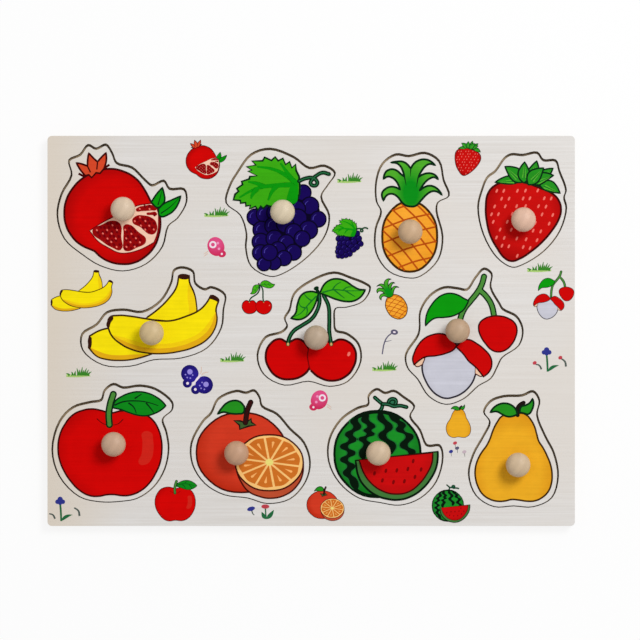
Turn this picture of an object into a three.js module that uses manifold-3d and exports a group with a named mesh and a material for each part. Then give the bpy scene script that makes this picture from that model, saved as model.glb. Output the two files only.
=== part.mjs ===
// Knobbed fruit puzzle board: two glued wooden sheets and eleven fruit pieces that lift out.
// Millimetres, +Z up. The origin is the middle of the underside, and the pictures stand upright along +Y.

import * as THREE from 'three';
import Module from 'manifold-3d';
import { mergeVertices } from 'three/addons/utils/BufferGeometryUtils.js';

const wasm = await Module();
wasm.setup();

// The two sheets. Every row of pieces is scaled to the board's length, and its width follows from the rows.
const BOARD_LENGTH = 300;
const FACE_THICKNESS = 5;
const BACK_THICKNESS = 3;
const CORNER_RADIUS = 2.5;

// Wood left outside the top and bottom rows, and between one row of cut lines and the next
const TOP_RIM = 4.8;
const BOTTOM_RIM = 10.9;
const UPPER_ROW_GAP = 8.6;
const LOWER_ROW_GAP = 9.7;

// Saw cut that frees each piece, and the share of it that the piece has slid down
const KERF = 1.0;
const SLIDE_DOWN = 0.45;

// Turned knob, a round head on a drawn-in neck
const KNOB_DIAMETER = 14;
const KNOB_HEIGHT = 14.5;
const KNOB_NECK_DIAMETER = 7.6;
const KNOB_FOOT_DIAMETER = 9.4;
const KNOB_NECK_HEIGHT = 3.6;
const KNOB_TOP_FLATNESS = 0.82;

// Countersunk screw from below, and the gap it keeps in its hole
const SCREW_DIAMETER = 3;
const SCREW_HEAD_DIAMETER = 5.8;
const SCREW_CONE_HEIGHT = 1.7;
const SCREW_RIM_HEIGHT = 0.4;
const SCREW_SINK = 0.3;
const SCREW_BITE = 7.5;
const SCREW_POINT = 2.5;
const SCREW_GAP = 0.3;

// Facets, and how much nearer than the offset a point of a moved outline may lie before it counts as folded
const STEPS_PER_SPAN = 4;
const CORNER_STEPS = 6;
const KNOB_SIDES = 16;
const KNOB_DOME_STEPS = 6;
const SCREW_SIDES = 10;
const FOLD_TOLERANCE = 0.014;

// Looks
const BIRCH = { color: 0xdedad2, roughness: 0.62, metalness: 0 };
const PLYWOOD = { color: 0xd2b48c, roughness: 0.75, metalness: 0 };
const BEECH = { color: 0xc8aa88, roughness: 0.55, metalness: 0 };
const STEEL = { color: 0xb9bcc0, roughness: 0.35, metalness: 0.9 };
const PRINT_ROUGHNESS = 0.5;

// The pieces, row by row from the top and from left to right.
// A row is drawn at the length its rims, gaps and widths add up to, and then scaled to the board.
// width is that of the cut line, gap the wood between it and the piece on its left, and rise lifts its
// middle off the row's line. The outline is drawn clockwise from the top, measured from the knob.
const ROWS = [
  {
    leftRim: 5.6,
    rightRim: 4.9,
    pieces: [
      {
        name: 'pomegranate', width: 73.6, gap: 0, rise: 1.2, color: 0xc40c08,
        outline: [
          [-20, 36], [-15.5, 34], [-10, 36.3], [-6.5, 31.5], [-4, 26], [4.7, 23.4], [11.8, 16.6], [16, 13.4],
          [22.5, 16], [25.8, 11.5], [33.9, 11.2], [35.3, 4.4], [30.2, -5], [25, -9.4], [21.7, -21],
          [12.6, -30.7], [-0.4, -34.7], [-13.4, -31.6], [-23, -25.6], [-33.3, -16.6], [-37.3, -3.5],
          [-35, 8.4], [-29.3, 19.3], [-30.7, 27.4], [-24.5, 30.6],
        ],
      },
      {
        name: 'grapes', width: 62.1, gap: 22.2, rise: -1.6, color: 0x1c0f58,
        outline: [
          [-7.2, 36], [6.1, 31.4], [15.2, 25.1], [23.7, 26.4], [29.8, 22.2], [25.8, 15.5], [21.9, 8.8],
          [26.5, -2], [24.3, -13], [14.6, -25.2], [0, -35.2], [-7.2, -36.8], [-18, -31], [-21.1, -20.3],
          [-20.7, -12.6], [-24.2, -1.8], [-32.3, 5.2], [-30.2, 15], [-26, 22.4], [-18, 32.8],
        ],
      },
      {
        name: 'pineapple', width: 42.2, gap: 22.6, rise: -3.2, color: 0xe18b23,
        outline: [
          [-8, 43.9], [-0.6, 43], [8.6, 44.8], [16.6, 40.2], [19.2, 29.3], [22.2, 20.4], [16, 16.7],
          [15.1, 12], [18.6, -2.8], [16, -16], [6.3, -25.2], [0, -26.5], [-12, -22.6], [-19.2, -12],
          [-19.5, 1.7], [-16.4, 11.5], [-19, 17.2], [-19.2, 28.5], [-15.8, 38.4],
        ],
      },
      {
        name: 'strawberry', width: 50.2, gap: 16.6, rise: 0, color: 0xc40c0a,
        outline: [
          [-6.4, 37.1], [0, 36.7], [8.2, 38], [11.7, 33.8], [18.7, 33.5], [20.8, 27.6], [24.6, 16.8],
          [23.5, 12.5], [24.8, 6.6], [21.1, -6.4], [11.9, -18], [-0.5, -25.8], [-6, -27.1], [-14.5, -21.7],
          [-22.3, -8.5], [-25.4, 7.1], [-23, 17.4], [-20.2, 23.9], [-15.6, 27.6], [-10.2, 35],
        ],
      },
    ],
  },
  {
    leftRim: 18.9,
    rightRim: 29.7,
    pieces: [
      {
        name: 'bananas', width: 82.4, gap: 0, rise: 9, color: 0xf4d80f,
        outline: [
          [16.5, 36.8], [23, 34.5], [24.3, 27.9], [29.7, 24.4], [33.3, 25.6], [41.1, 21.3], [40.2, 13],
          [39, 2.7], [31, -8.7], [16.5, -14.4], [0.9, -15.4], [-12.3, -19], [-28, -18.3], [-39.3, -9.9],
          [-39.6, -0.9], [-31.5, 4.5], [-25.5, 11.4], [-16, 12.9], [-5.7, 11.7], [4.5, 17.7], [10.8, 28.5],
          [12.2, 35],
        ],
      },
      {
        name: 'cherries', width: 64.1, gap: 18.1, rise: 2, color: 0xca0404,
        outline: [
          [10.1, 36.7], [19.7, 33.8], [27.7, 30.6], [30.7, 28.2], [26.7, 20.5], [17.1, 17], [11, 16.3],
          [10.3, 9.8], [11.2, 3.8], [17.1, 2.1], [24, -3.8], [25.3, -13.9], [18.1, -25.1], [7.5, -28],
          [-4.3, -25.1], [-18, -27.3], [-29.8, -21.1], [-33.4, -10.2], [-28.7, 0], [-19.7, 2.9],
          [-16.5, 6.3], [-17.9, 10.8], [-15.2, 15.4], [-12.5, 24.7], [-2.6, 32.2],
        ],
      },
      {
        name: 'lychee', width: 66.7, gap: 20.1, rise: -2, color: 0xb8383c,
        outline: [
          [15.3, 35.1], [19.6, 32.2], [19, 24.6], [24, 15.3], [26, 12.1], [33.8, 7.9], [37.3, 0.3],
          [35.1, -8.5], [25.5, -15.5], [23, -20.2], [19.2, -27.2], [12, -31.6], [3.5, -39], [-6.5, -42.1],
          [-16.2, -37.4], [-22.5, -27.7], [-28.2, -21.2], [-29.2, -13.7], [-22.5, -3.2], [-21.4, 0.8],
          [-21, 10.8], [-15.8, 19.5], [-7.5, 24.4], [0.5, 23.9], [5.5, 23.2], [10.4, 30.1],
        ],
      },
    ],
  },
  {
    leftRim: 2.7,
    rightRim: 9.6,
    pieces: [
      {
        name: 'apple', width: 68.6, gap: 0, rise: 2.6, color: 0xca0304,
        outline: [
          [-0.5, 33.7], [5, 31.7], [14.5, 32.8], [23.5, 30.8], [32.8, 23.3], [32.7, 19], [27.4, 13.8],
          [29.5, 6.5], [30.8, -3.2], [28.5, -14.7], [22.3, -24.7], [13, -31.2], [4, -32.9], [-8, -33.2],
          [-20, -30.2], [-31.2, -18.7], [-35.3, -3.7], [-31.2, 12.3], [-23.5, 20.5], [-13.5, 23.5],
          [-7.5, 24.7], [-5.5, 30.1],
        ],
      },
      {
        name: 'orange', width: 67.9, gap: 10.1, rise: 0.4, color: 0xd23623,
        outline: [
          [-0.2, 34.8], [5.3, 33.8], [9.8, 35.1], [12.9, 31.2], [14.3, 26.2], [22.8, 21.7], [30.3, 13.2],
          [38.1, 5.5], [41.6, -5.8], [39, -16.8], [30.3, -26.5], [17.3, -29.2], [6.3, -26.1], [-7.2, -24.2],
          [-18.2, -17.8], [-25.2, -6.8], [-25.8, 5.2], [-19.2, 17.7], [-14.7, 22.2], [-10.7, 30.2],
        ],
      },
      {
        name: 'watermelon', width: 65.4, gap: 10.1, rise: 0.3, color: 0x1a7a24,
        outline: [
          [-0.8, 35.9], [3.9, 33.7], [8.9, 34.9], [14.4, 31.4], [20.5, 26.2], [18.1, 20.5], [23.7, 12.7],
          [27.2, 4.4], [29.4, 3.6], [34.9, 3.8], [36.7, -2.8], [32.9, -16.8], [23.9, -26.1], [12.4, -30.1],
          [0.9, -28.6], [-11.1, -26], [-22.1, -17.3], [-28.1, -5.3], [-27.8, 7.2], [-21.3, 18.5],
          [-11.6, 25.2], [-5.7, 27.2], [-5.4, 32.2],
        ],
      },
      {
        name: 'pear', width: 50.8, gap: 14.8, rise: -0.9, color: 0xe9aa24,
        outline: [
          [9, 41.3], [12.6, 36], [11.2, 28], [15.8, 16], [20.8, 6.2], [23.2, -7], [19.5, -19.3],
          [8.8, -24.4], [-2.2, -23.9], [-13.2, -24.3], [-23.4, -18], [-27.6, -6], [-25, 5.5],
          [-19.2, 16], [-15.6, 24], [-19, 29.5], [-15.2, 35.7], [-7.7, 38.5], [2.8, 39],
        ],
      },
    ],
  },
];

// Outlines

// A closed smooth curve through the drawn points, as flat points
function smoothOutline(points) {
  const corners = points.map(([x, y]) => new THREE.Vector3(x, y, 0));
  const curve = new THREE.CatmullRomCurve3(corners, true, 'centripetal');
  const steps = curve.getPoints(points.length * STEPS_PER_SPAN);
  steps.pop();
  return steps.map((point) => new THREE.Vector2(point.x, point.y));
}

// How far a point lies from the nearest stretch of an outline
function distanceTo(outline, point) {
  const nearest = new THREE.Vector3();
  const target = new THREE.Vector3(point.x, point.y, 0);
  const stretch = new THREE.Line3();
  let least = Infinity;
  outline.forEach((start, i) => {
    const end = outline[(i + 1) % outline.length];
    stretch.start.set(start.x, start.y, 0);
    stretch.end.set(end.x, end.y, 0);
    stretch.closestPointToPoint(target, true, nearest);
    least = Math.min(least, nearest.distanceTo(target));
  });
  return least;
}

// The clockwise outline moved out by a distance, or in by a negative one, with no folds in its notches
function offsetOutline(outline, distance) {
  const count = outline.length;
  const moved = outline.map((point, i) => {
    const before = point.clone().sub(outline[(i + count - 1) % count]).normalize();
    const after = outline[(i + 1) % count].clone().sub(point).normalize();
    const along = before.clone().add(after).normalize();
    const stretch = distance / along.dot(after);
    return new THREE.Vector2(point.x - along.y * stretch, point.y + along.x * stretch);
  });
  return moved.filter((point) => distanceTo(outline, point) > Math.abs(distance) - FOLD_TOLERANCE);
}

function extent(points, axis) {
  const values = points.map((point) => point[axis]);
  return { low: Math.min(...values), high: Math.max(...values) };
}

// Layout: where each knob goes, with the top left corner of the board as the first zero

// Each piece's cut line in its final size, and its place along the row
function layOutRow(row) {
  const taken = row.pieces.reduce((sum, piece) => sum + piece.gap + piece.width, 0);
  const scale = BOARD_LENGTH / (row.leftRim + taken + row.rightRim);
  let edge = row.leftRim * scale;
  return row.pieces.map((piece) => {
    const cutLine = smoothOutline(piece.outline);
    const drawn = extent(cutLine, 'x');
    const width = piece.width * scale;
    cutLine.forEach((point) => point.multiplyScalar(width / (drawn.high - drawn.low)));
    const upright = extent(cutLine, 'y');
    const left = edge + piece.gap * scale;
    edge = left + width;
    const middle = (upright.low + upright.high) / 2;
    const place = new THREE.Vector2(left - extent(cutLine, 'x').low, piece.rise * scale - middle);
    return { ...piece, cutLine, place };
  });
}

function placedPoints(row) {
  return row.flatMap((piece) => piece.cutLine.map((point) => point.clone().add(piece.place)));
}

// How far the lower row's line drops to leave the gap between the two rows' cut lines
function rowDrop(upperRow, lowerRow, gap) {
  let drop = -Infinity;
  for (const above of placedPoints(upperRow)) {
    for (const below of placedPoints(lowerRow)) {
      const across = Math.abs(above.x - below.x);
      if (across < gap) {
        drop = Math.max(drop, below.y - above.y + Math.sqrt(gap * gap - across * across));
      }
    }
  }
  return drop;
}

function moveRow(row, x, y) {
  row.forEach((piece) => piece.place.add(new THREE.Vector2(x, y)));
}

const rows = ROWS.map(layOutRow);
moveRow(rows[0], 0, -TOP_RIM - extent(placedPoints(rows[0]), 'y').high);
moveRow(rows[1], 0, -rowDrop(rows[0], rows[1], UPPER_ROW_GAP));
moveRow(rows[2], 0, -rowDrop(rows[1], rows[2], LOWER_ROW_GAP));
const boardWidth = BOTTOM_RIM - Math.min(...rows.map((row) => extent(placedPoints(row), 'y').low));
rows.forEach((row) => moveRow(row, -BOARD_LENGTH / 2, boardWidth / 2));
const pieces = rows.flat();

// Solids

function solidOf(geometry) {
  geometry.deleteAttribute('normal');
  geometry.deleteAttribute('uv');
  const merged = mergeVertices(geometry);
  const vertProperties = new Float32Array(merged.attributes.position.array);
  const triVerts = new Uint32Array(merged.index.array);
  return new wasm.Manifold(new wasm.Mesh({ numProp: 3, vertProperties, triVerts }));
}

function geometryOf(solid) {
  const mesh = solid.getMesh();
  const geometry = new THREE.BufferGeometry();
  geometry.setAttribute('position', new THREE.BufferAttribute(mesh.vertProperties, 3));
  geometry.setIndex(new THREE.BufferAttribute(mesh.triVerts, 1));
  geometry.computeVertexNormals();
  return geometry;
}

function sheetOf(shape, thickness) {
  const settings = { depth: thickness, bevelEnabled: false, curveSegments: CORNER_STEPS };
  return new THREE.ExtrudeGeometry(shape, settings);
}

// A profile of [radius, height] points turned about +Z
function turned(profile, sides) {
  const points = profile.map(([radius, height]) => new THREE.Vector2(radius, height));
  return new THREE.LatheGeometry(points, sides).rotateX(Math.PI / 2);
}

function boardShape() {
  const right = BOARD_LENGTH / 2;
  const top = boardWidth / 2;
  const shape = new THREE.Shape();
  shape.absarc(right - CORNER_RADIUS, top - CORNER_RADIUS, CORNER_RADIUS, 0, Math.PI / 2);
  shape.absarc(CORNER_RADIUS - right, top - CORNER_RADIUS, CORNER_RADIUS, Math.PI / 2, Math.PI);
  shape.absarc(CORNER_RADIUS - right, CORNER_RADIUS - top, CORNER_RADIUS, Math.PI, Math.PI * 1.5);
  shape.absarc(right - CORNER_RADIUS, CORNER_RADIUS - top, CORNER_RADIUS, Math.PI * 1.5, Math.PI * 2);
  return shape;
}

function facePanel() {
  const shape = boardShape();
  shape.holes = pieces.map((piece) => {
    const recess = offsetOutline(piece.cutLine, KERF / 2);
    return new THREE.Path(recess.map((point) => point.clone().add(piece.place)));
  });
  return sheetOf(shape, FACE_THICKNESS);
}

// Through hole with a countersink at the bottom, for the screw in the piece's knob
function screwHole() {
  const headRadius = SCREW_HEAD_DIAMETER / 2 + SCREW_GAP;
  const holeRadius = SCREW_DIAMETER / 2 + SCREW_GAP;
  const coneFoot = SCREW_SINK + SCREW_RIM_HEIGHT;
  const past = 1;
  return turned([
    [0, -past],
    [headRadius, -past],
    [headRadius, coneFoot],
    [holeRadius, coneFoot + SCREW_CONE_HEIGHT],
    [holeRadius, FACE_THICKNESS + past],
    [0, FACE_THICKNESS + past],
  ], SCREW_SIDES);
}

function fruitPiece(piece) {
  const blank = sheetOf(new THREE.Shape(offsetOutline(piece.cutLine, -KERF / 2)), FACE_THICKNESS);
  return geometryOf(solidOf(blank).subtract(solidOf(screwHole())));
}

// Foot, drawn-in neck and domed head round a blind hole for the screw
function knob() {
  const pilotRadius = SCREW_DIAMETER / 2 + SCREW_GAP;
  const pilotDepth = SCREW_BITE + SCREW_GAP;
  const headRadius = KNOB_DIAMETER / 2;
  const headHeight = KNOB_HEIGHT - KNOB_NECK_HEIGHT;
  const profile = [
    [0, pilotDepth],
    [pilotRadius, pilotDepth - SCREW_POINT],
    [pilotRadius, 0],
    [KNOB_FOOT_DIAMETER / 2, 0],
    [KNOB_NECK_DIAMETER / 2, KNOB_NECK_HEIGHT / 2],
    [KNOB_NECK_DIAMETER / 2, KNOB_NECK_HEIGHT],
  ];
  const underside = Math.acos(KNOB_NECK_DIAMETER / KNOB_DIAMETER);
  for (let step = 1; step < KNOB_DOME_STEPS; step += 1) {
    const turn = -underside + (step / KNOB_DOME_STEPS) * (underside + Math.PI / 2);
    const share = (Math.sin(turn) + Math.sin(underside)) / (1 + Math.sin(underside));
    const radius = headRadius * Math.cos(turn) ** KNOB_TOP_FLATNESS;
    profile.push([radius, KNOB_NECK_HEIGHT + headHeight * share]);
  }
  profile.push([0, KNOB_HEIGHT]);
  return turned(profile, KNOB_SIDES);
}

function screw() {
  const shankRadius = SCREW_DIAMETER / 2;
  const headRadius = SCREW_HEAD_DIAMETER / 2;
  const tip = FACE_THICKNESS - SCREW_SINK + SCREW_BITE;
  return turned([
    [0, 0],
    [headRadius, 0],
    [headRadius, SCREW_RIM_HEIGHT],
    [shankRadius, SCREW_RIM_HEIGHT + SCREW_CONE_HEIGHT],
    [shankRadius, tip - SCREW_POINT],
    [0, tip],
  ], SCREW_SIDES);
}

// Assembly

const board = new THREE.Group();

function addPiece(parent, name, geometry, look, height) {
  const mesh = new THREE.Mesh(geometry, new THREE.MeshStandardMaterial(look));
  mesh.name = name;
  mesh.position.z = height;
  parent.add(mesh);
}

addPiece(board, 'back_panel', sheetOf(boardShape(), BACK_THICKNESS), PLYWOOD, 0);
addPiece(board, 'face_panel', facePanel(), BIRCH, BACK_THICKNESS);

for (const piece of pieces) {
  const seat = new THREE.Group();
  seat.position.set(piece.place.x, piece.place.y - SLIDE_DOWN * KERF, BACK_THICKNESS);
  const print = { color: piece.color, roughness: PRINT_ROUGHNESS, metalness: 0 };
  addPiece(seat, `${piece.name}_tile`, fruitPiece(piece), print, 0);
  addPiece(seat, `${piece.name}_knob`, knob(), BEECH, FACE_THICKNESS);
  addPiece(seat, `${piece.name}_screw`, screw(), STEEL, SCREW_SINK);
  board.add(seat);
}

export default board;
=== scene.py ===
"""Looks of a knobbed fruit puzzle board: printed sheets, fruit pieces, turned knobs and their screws."""
import logging
import math
from collections.abc import Iterable, Sequence
from dataclasses import dataclass, field, replace
from enum import Enum, IntEnum
from functools import cache

import bmesh
import bpy
from mathutils import Matrix, Vector


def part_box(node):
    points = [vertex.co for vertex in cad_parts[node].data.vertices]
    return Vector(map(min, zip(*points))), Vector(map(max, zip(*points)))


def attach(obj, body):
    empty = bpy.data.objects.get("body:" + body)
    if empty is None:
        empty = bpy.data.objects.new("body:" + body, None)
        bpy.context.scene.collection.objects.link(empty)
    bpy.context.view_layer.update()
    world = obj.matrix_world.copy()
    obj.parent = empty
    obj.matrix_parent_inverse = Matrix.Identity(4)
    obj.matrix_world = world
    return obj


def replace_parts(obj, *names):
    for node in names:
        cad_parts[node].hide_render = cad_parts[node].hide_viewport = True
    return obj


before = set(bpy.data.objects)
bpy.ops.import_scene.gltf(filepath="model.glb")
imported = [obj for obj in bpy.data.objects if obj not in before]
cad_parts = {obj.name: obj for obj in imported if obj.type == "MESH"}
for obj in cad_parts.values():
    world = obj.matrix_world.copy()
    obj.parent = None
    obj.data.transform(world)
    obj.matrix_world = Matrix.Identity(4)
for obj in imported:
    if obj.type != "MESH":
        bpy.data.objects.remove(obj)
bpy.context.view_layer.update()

MM = 0.001
FACE_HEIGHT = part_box("face_panel")[1].z
PICTURE_MAP = "picture"         # UV map that holds each point's place on its picture's ground
PICTURE_MAP_MM = 100.0          # millimetres of that ground to one step of the map
MERGE_MM = 0.0001               # points nearer to each other than this are one
CREASE = math.radians(35)       # edges that bend more than this are shaded sharp
LEVEL = math.radians(1)         # faces that bend less than this are made one
NOISE_RANGE = (0.3, 0.7)        # where nearly all the values of soft noise lie
WAVE_BEAT = 20.0                # Blender's wave pattern takes the sine of this times the place
WHITE = (1.0, 1.0, 1.0, 1.0)
SRGB_KNEE = 0.04045             # up to this share of full light the sRGB curve is straight
SRGB_SLOPE = 12.92
SRGB_OFFSET = 0.055
SRGB_POWER = 2.4
LEAF_STEPS = (0.2, 0.45, 0.75)  # where a leaf's edge has points, as shares of its length
LEAF_BELLY = 0.8                # power below 1 that moves a leaf's widest place towards its base
OVAL_POINTS = 8
DOT_POINTS = 4

log = logging.getLogger("fruit_puzzle_board")

Point = tuple[float, float]
Range = tuple[float, float]
Scale = tuple[float, float, float]
Colour = tuple[int, int, int]
Run = Sequence[Point]
Socket = bpy.types.NodeSocket


def linear(colour: Colour) -> tuple[float, float, float, float]:
    """Turns a colour as a screen shows it into scene light.

    Args:
        colour: red, green and blue from 0 to 255.

    Returns:
        Linear red, green and blue, and a full alpha.
    """
    lights = []
    for channel in colour:
        share = channel / 255
        bent = ((share + SRGB_OFFSET) / (1 + SRGB_OFFSET)) ** SRGB_POWER
        lights.append(bent if share > SRGB_KNEE else share / SRGB_SLOPE)
    return lights[0], lights[1], lights[2], 1.0


class Recipe:
    """A material in the making: its shader, and the nodes that feed it."""

    # Blender's mix node has inputs of one name for numbers, vectors and colours. These are the colours'.
    mix_share = 0
    mix_first = 6
    mix_second = 7
    mix_result = 2

    def __init__(self, name: str) -> None:
        """Starts a material.

        Args:
            name: the material's name.
        """
        self.material = bpy.data.materials.new(name)
        self.material.use_nodes = True
        self.tree = self.material.node_tree
        self.shader = self.tree.nodes["Principled BSDF"]

    def feed(self, node: bpy.types.Node, sockets: dict[str | int, object]) -> None:
        """Fills a node's inputs.

        Args:
            node: the node to fill.
            sockets: what each input gets, by its name or number; a socket is linked, a plain value is set.
        """
        for key, value in sockets.items():
            if isinstance(value, Socket):
                self.tree.links.new(value, node.inputs[key])
            else:
                node.inputs[key].default_value = value

    def add(self, kind: str, sockets: dict[str | int, object], **settings: str) -> bpy.types.Node:
        """Adds a node.

        Args:
            kind: Blender's name for the kind of node.
            sockets: what its inputs get, as for feed.
            **settings: its own settings, by name.

        Returns:
            The new node.
        """
        node = self.tree.nodes.new(kind)
        for name, value in settings.items():
            setattr(node, name, value)
        self.feed(node, sockets)
        return node

    def spot(self, scale: Sequence[float], middle: Sequence[float] = (0.0, 0.0, 0.0)) -> Socket:
        """Gives the place on the object that a pattern is read at.

        Args:
            scale: how many steps of the pattern a metre holds along each axis.
            middle: the point, in metres, that the pattern is centred on.

        Returns:
            The scaled place.
        """
        place = self.add("ShaderNodeTexCoord", {}).outputs["Object"]
        shift = [-m * s for m, s in zip(middle, scale)]
        sockets = {"Vector": place, "Location": shift, "Scale": scale}
        return self.add("ShaderNodeMapping", sockets).outputs["Vector"]

    def noise(self, place: Socket, detail: float = 4.0, roughness: float = 0.55) -> Socket:
        """Gives soft noise of one step in size at a place."""
        sockets = {"Vector": place, "Scale": 1.0, "Detail": detail, "Roughness": roughness}
        return self.add("ShaderNodeTexNoise", sockets).outputs["Fac"]

    def spread(self, value: Socket, low: float, high: float, first: float, last: float) -> Socket:
        """Stretches a value from one range to another.

        Args:
            value: what is stretched.
            low: value that gives first.
            high: value that gives last.
            first: result at and below low.
            last: result at and above high.

        Returns:
            The stretched value.
        """
        sockets = {"Value": value, "From Min": low, "From Max": high, "To Min": first, "To Max": last}
        return self.add("ShaderNodeMapRange", sockets).outputs["Result"]

    def mix(self, share: Socket | float, first: object, second: object, blend: str = "MIX") -> Socket:
        """Blends two colours.

        Args:
            share: how much of the second colour comes in.
            first: colour, or socket that gives one.
            second: colour, or socket that gives one.
            blend: Blender's name for the way they blend.

        Returns:
            The blended colour.
        """
        sockets = {self.mix_share: share, self.mix_first: first, self.mix_second: second}
        node = self.add("ShaderNodeMix", sockets, data_type="RGBA", blend_type=blend)
        return node.outputs[self.mix_result]

    def gloss(self, pattern: Socket, roughness: float, swing: Range, specular: float) -> None:
        """Sets how the surface shines.

        Args:
            pattern: soft noise that the roughness follows.
            roughness: its middle.
            swing: how far it goes down and up from there.
            specular: strength of the mirrored light.
        """
        least, most = roughness + swing[0], roughness + swing[1]
        rough = self.spread(pattern, *NOISE_RANGE, least, most)
        self.feed(self.shader, {"Roughness": rough, "Specular IOR Level": specular})

    def relief(self, height: Socket, depth: float) -> None:
        """Raises the surface by a height of up to depth, in metres."""
        bump = self.add("ShaderNodeBump", {"Height": height, "Strength": 1.0, "Distance": depth})
        self.feed(self.shader, {"Normal": bump.outputs["Normal"]})


@dataclass(frozen=True)
class SheetFinish:
    """Sanded birch sheet: pale, with long fine streaks, slow patches of tone and painted shade that darkens
    and warms its left end.

    Of each pattern, the scale is its steps in a metre, the range its values where a tone starts and stops
    growing, and the share how much of that tone comes in.
    """

    name: str
    pale: Colour
    dark: Colour
    warm: Colour
    left_shade_tint: Colour
    roughness: float = 0.62
    swing: Range = (-0.06, 0.06)
    specular: float = 0.3
    streak_scale: Scale = (14.0, 900.0, 14.0)
    streak_range: Range = (0.32, 0.72)
    fleck_scale: Scale = (90.0, 1500.0, 90.0)
    fleck_range: Range = (0.6, 0.75)
    fleck_share: float = 0.55
    patch_scale: Scale = (9.0, 16.0, 9.0)
    patch_range: Range = (0.42, 0.66)
    patch_share: float = 0.7
    left_shade_range: Range = (-0.146, -0.106)
    left_shade_share: float = 0.8
    depth: float = 0.00002

    def material(self) -> bpy.types.Material:
        """Makes the birch.

        Returns:
            The material.
        """
        recipe = Recipe(self.name)
        dark = linear(self.dark)
        streak = recipe.noise(recipe.spot(self.streak_scale), detail=5.0, roughness=0.6)
        fleck = recipe.noise(recipe.spot(self.fleck_scale), detail=2.0)
        patch = recipe.noise(recipe.spot(self.patch_scale), detail=2.0)
        colour = recipe.mix(recipe.spread(streak, *self.streak_range, 0.0, 1.0), linear(self.pale), dark)
        share = recipe.spread(fleck, *self.fleck_range, 0.0, self.fleck_share)
        colour = recipe.mix(share, colour, dark)
        share = recipe.spread(patch, *self.patch_range, 0.0, self.patch_share)
        colour = recipe.mix(share, colour, linear(self.warm))
        # painted shade: the left end is made darker and warmer, in place of the lamp's falloff and warm
        # reflected light
        along = recipe.add("ShaderNodeSeparateXYZ", {"Vector": recipe.spot((1.0, 1.0, 1.0))}).outputs["X"]
        share = recipe.spread(along, *self.left_shade_range, self.left_shade_share, 0.0)
        colour = recipe.mix(share, colour, linear(self.left_shade_tint))
        recipe.feed(recipe.shader, {"Base Color": colour})
        recipe.gloss(streak, self.roughness, self.swing, self.specular)
        recipe.relief(streak, self.depth)
        return recipe.material


@dataclass(frozen=True)
class EdgeFinish:
    """Edge of a plywood sheet: layers of two tones, scorched more or less by the cutting."""

    name: str
    pale: Colour
    dark: Colour
    layer: float
    layer_range: Range = (0.35, 0.65)
    layer_share: float = 0.75
    layer_wobble: float = 0.6
    soot_scale: Scale = (180.0, 180.0, 60.0)
    soot_range: Range = (0.35, 0.7)
    soot_share: float = 0.6
    roughness: float = 0.8
    swing: Range = (-0.1, 0.1)
    specular: float = 0.2
    depth: float = 0.00003

    def material(self) -> bpy.types.Material:
        """Makes the layered edge.

        Returns:
            The material.
        """
        recipe = Recipe(self.name)
        dark = linear(self.dark)
        sockets = {
            "Vector": recipe.spot((1.0, 1.0, 1.0)),
            "Scale": math.tau / (WAVE_BEAT * 2 * self.layer),
            "Distortion": self.layer_wobble,
            "Detail": 2.0,
        }
        layers = recipe.add("ShaderNodeTexWave", sockets, bands_direction="Z")
        soot = recipe.noise(recipe.spot(self.soot_scale), detail=4.0)
        share = recipe.spread(layers.outputs["Fac"], *self.layer_range, 0.0, self.layer_share)
        colour = recipe.mix(share, linear(self.pale), dark)
        colour = recipe.mix(recipe.spread(soot, *self.soot_range, 0.0, self.soot_share), colour, dark)
        recipe.feed(recipe.shader, {"Base Color": colour})
        recipe.gloss(soot, self.roughness, self.swing, self.specular)
        recipe.relief(soot, self.depth)
        return recipe.material


@dataclass(frozen=True)
class TurnedFinish:
    """Turned beech: faint rings round a pith beside the knob's axis, and short flecks along it."""

    name: str
    tone: Colour
    fleck: Colour
    middle: tuple[float, float, float]
    pith: Point = (-0.011, 0.006)
    ring_scale: float = 70.0
    ring_range: Range = (0.2, 0.9)
    ring_share: float = 0.16
    ring_wobble: float = 1.6
    grain_scale: Scale = (1500.0, 1500.0, 260.0)
    grain_range: Range = (0.55, 0.75)
    grain_share: float = 0.3
    roughness: float = 0.5
    swing: Range = (-0.06, 0.08)
    specular: float = 0.4
    depth: float = 0.00002

    def material(self) -> bpy.types.Material:
        """Makes the beech of one knob.

        Returns:
            The material.
        """
        recipe = Recipe(self.name)
        fleck = linear(self.fleck)
        pith = (self.middle[0] + self.pith[0], self.middle[1] + self.pith[1], 0.0)
        sockets = {
            "Vector": recipe.spot((1.0, 1.0, 1.0), pith),
            "Scale": self.ring_scale,
            "Distortion": self.ring_wobble,
            "Detail": 3.0,
        }
        rings = recipe.add("ShaderNodeTexWave", sockets, wave_type="RINGS", rings_direction="Z")
        grain = recipe.noise(recipe.spot(self.grain_scale, self.middle), detail=3.0)
        share = recipe.spread(rings.outputs["Fac"], *self.ring_range, 0.0, self.ring_share)
        colour = recipe.mix(share, linear(self.tone), fleck)
        share = recipe.spread(grain, *self.grain_range, 0.0, self.grain_share)
        colour = recipe.mix(share, colour, fleck)
        recipe.feed(recipe.shader, {"Base Color": colour})
        recipe.gloss(grain, self.roughness, self.swing, self.specular)
        recipe.relief(grain, self.depth)
        return recipe.material


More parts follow.
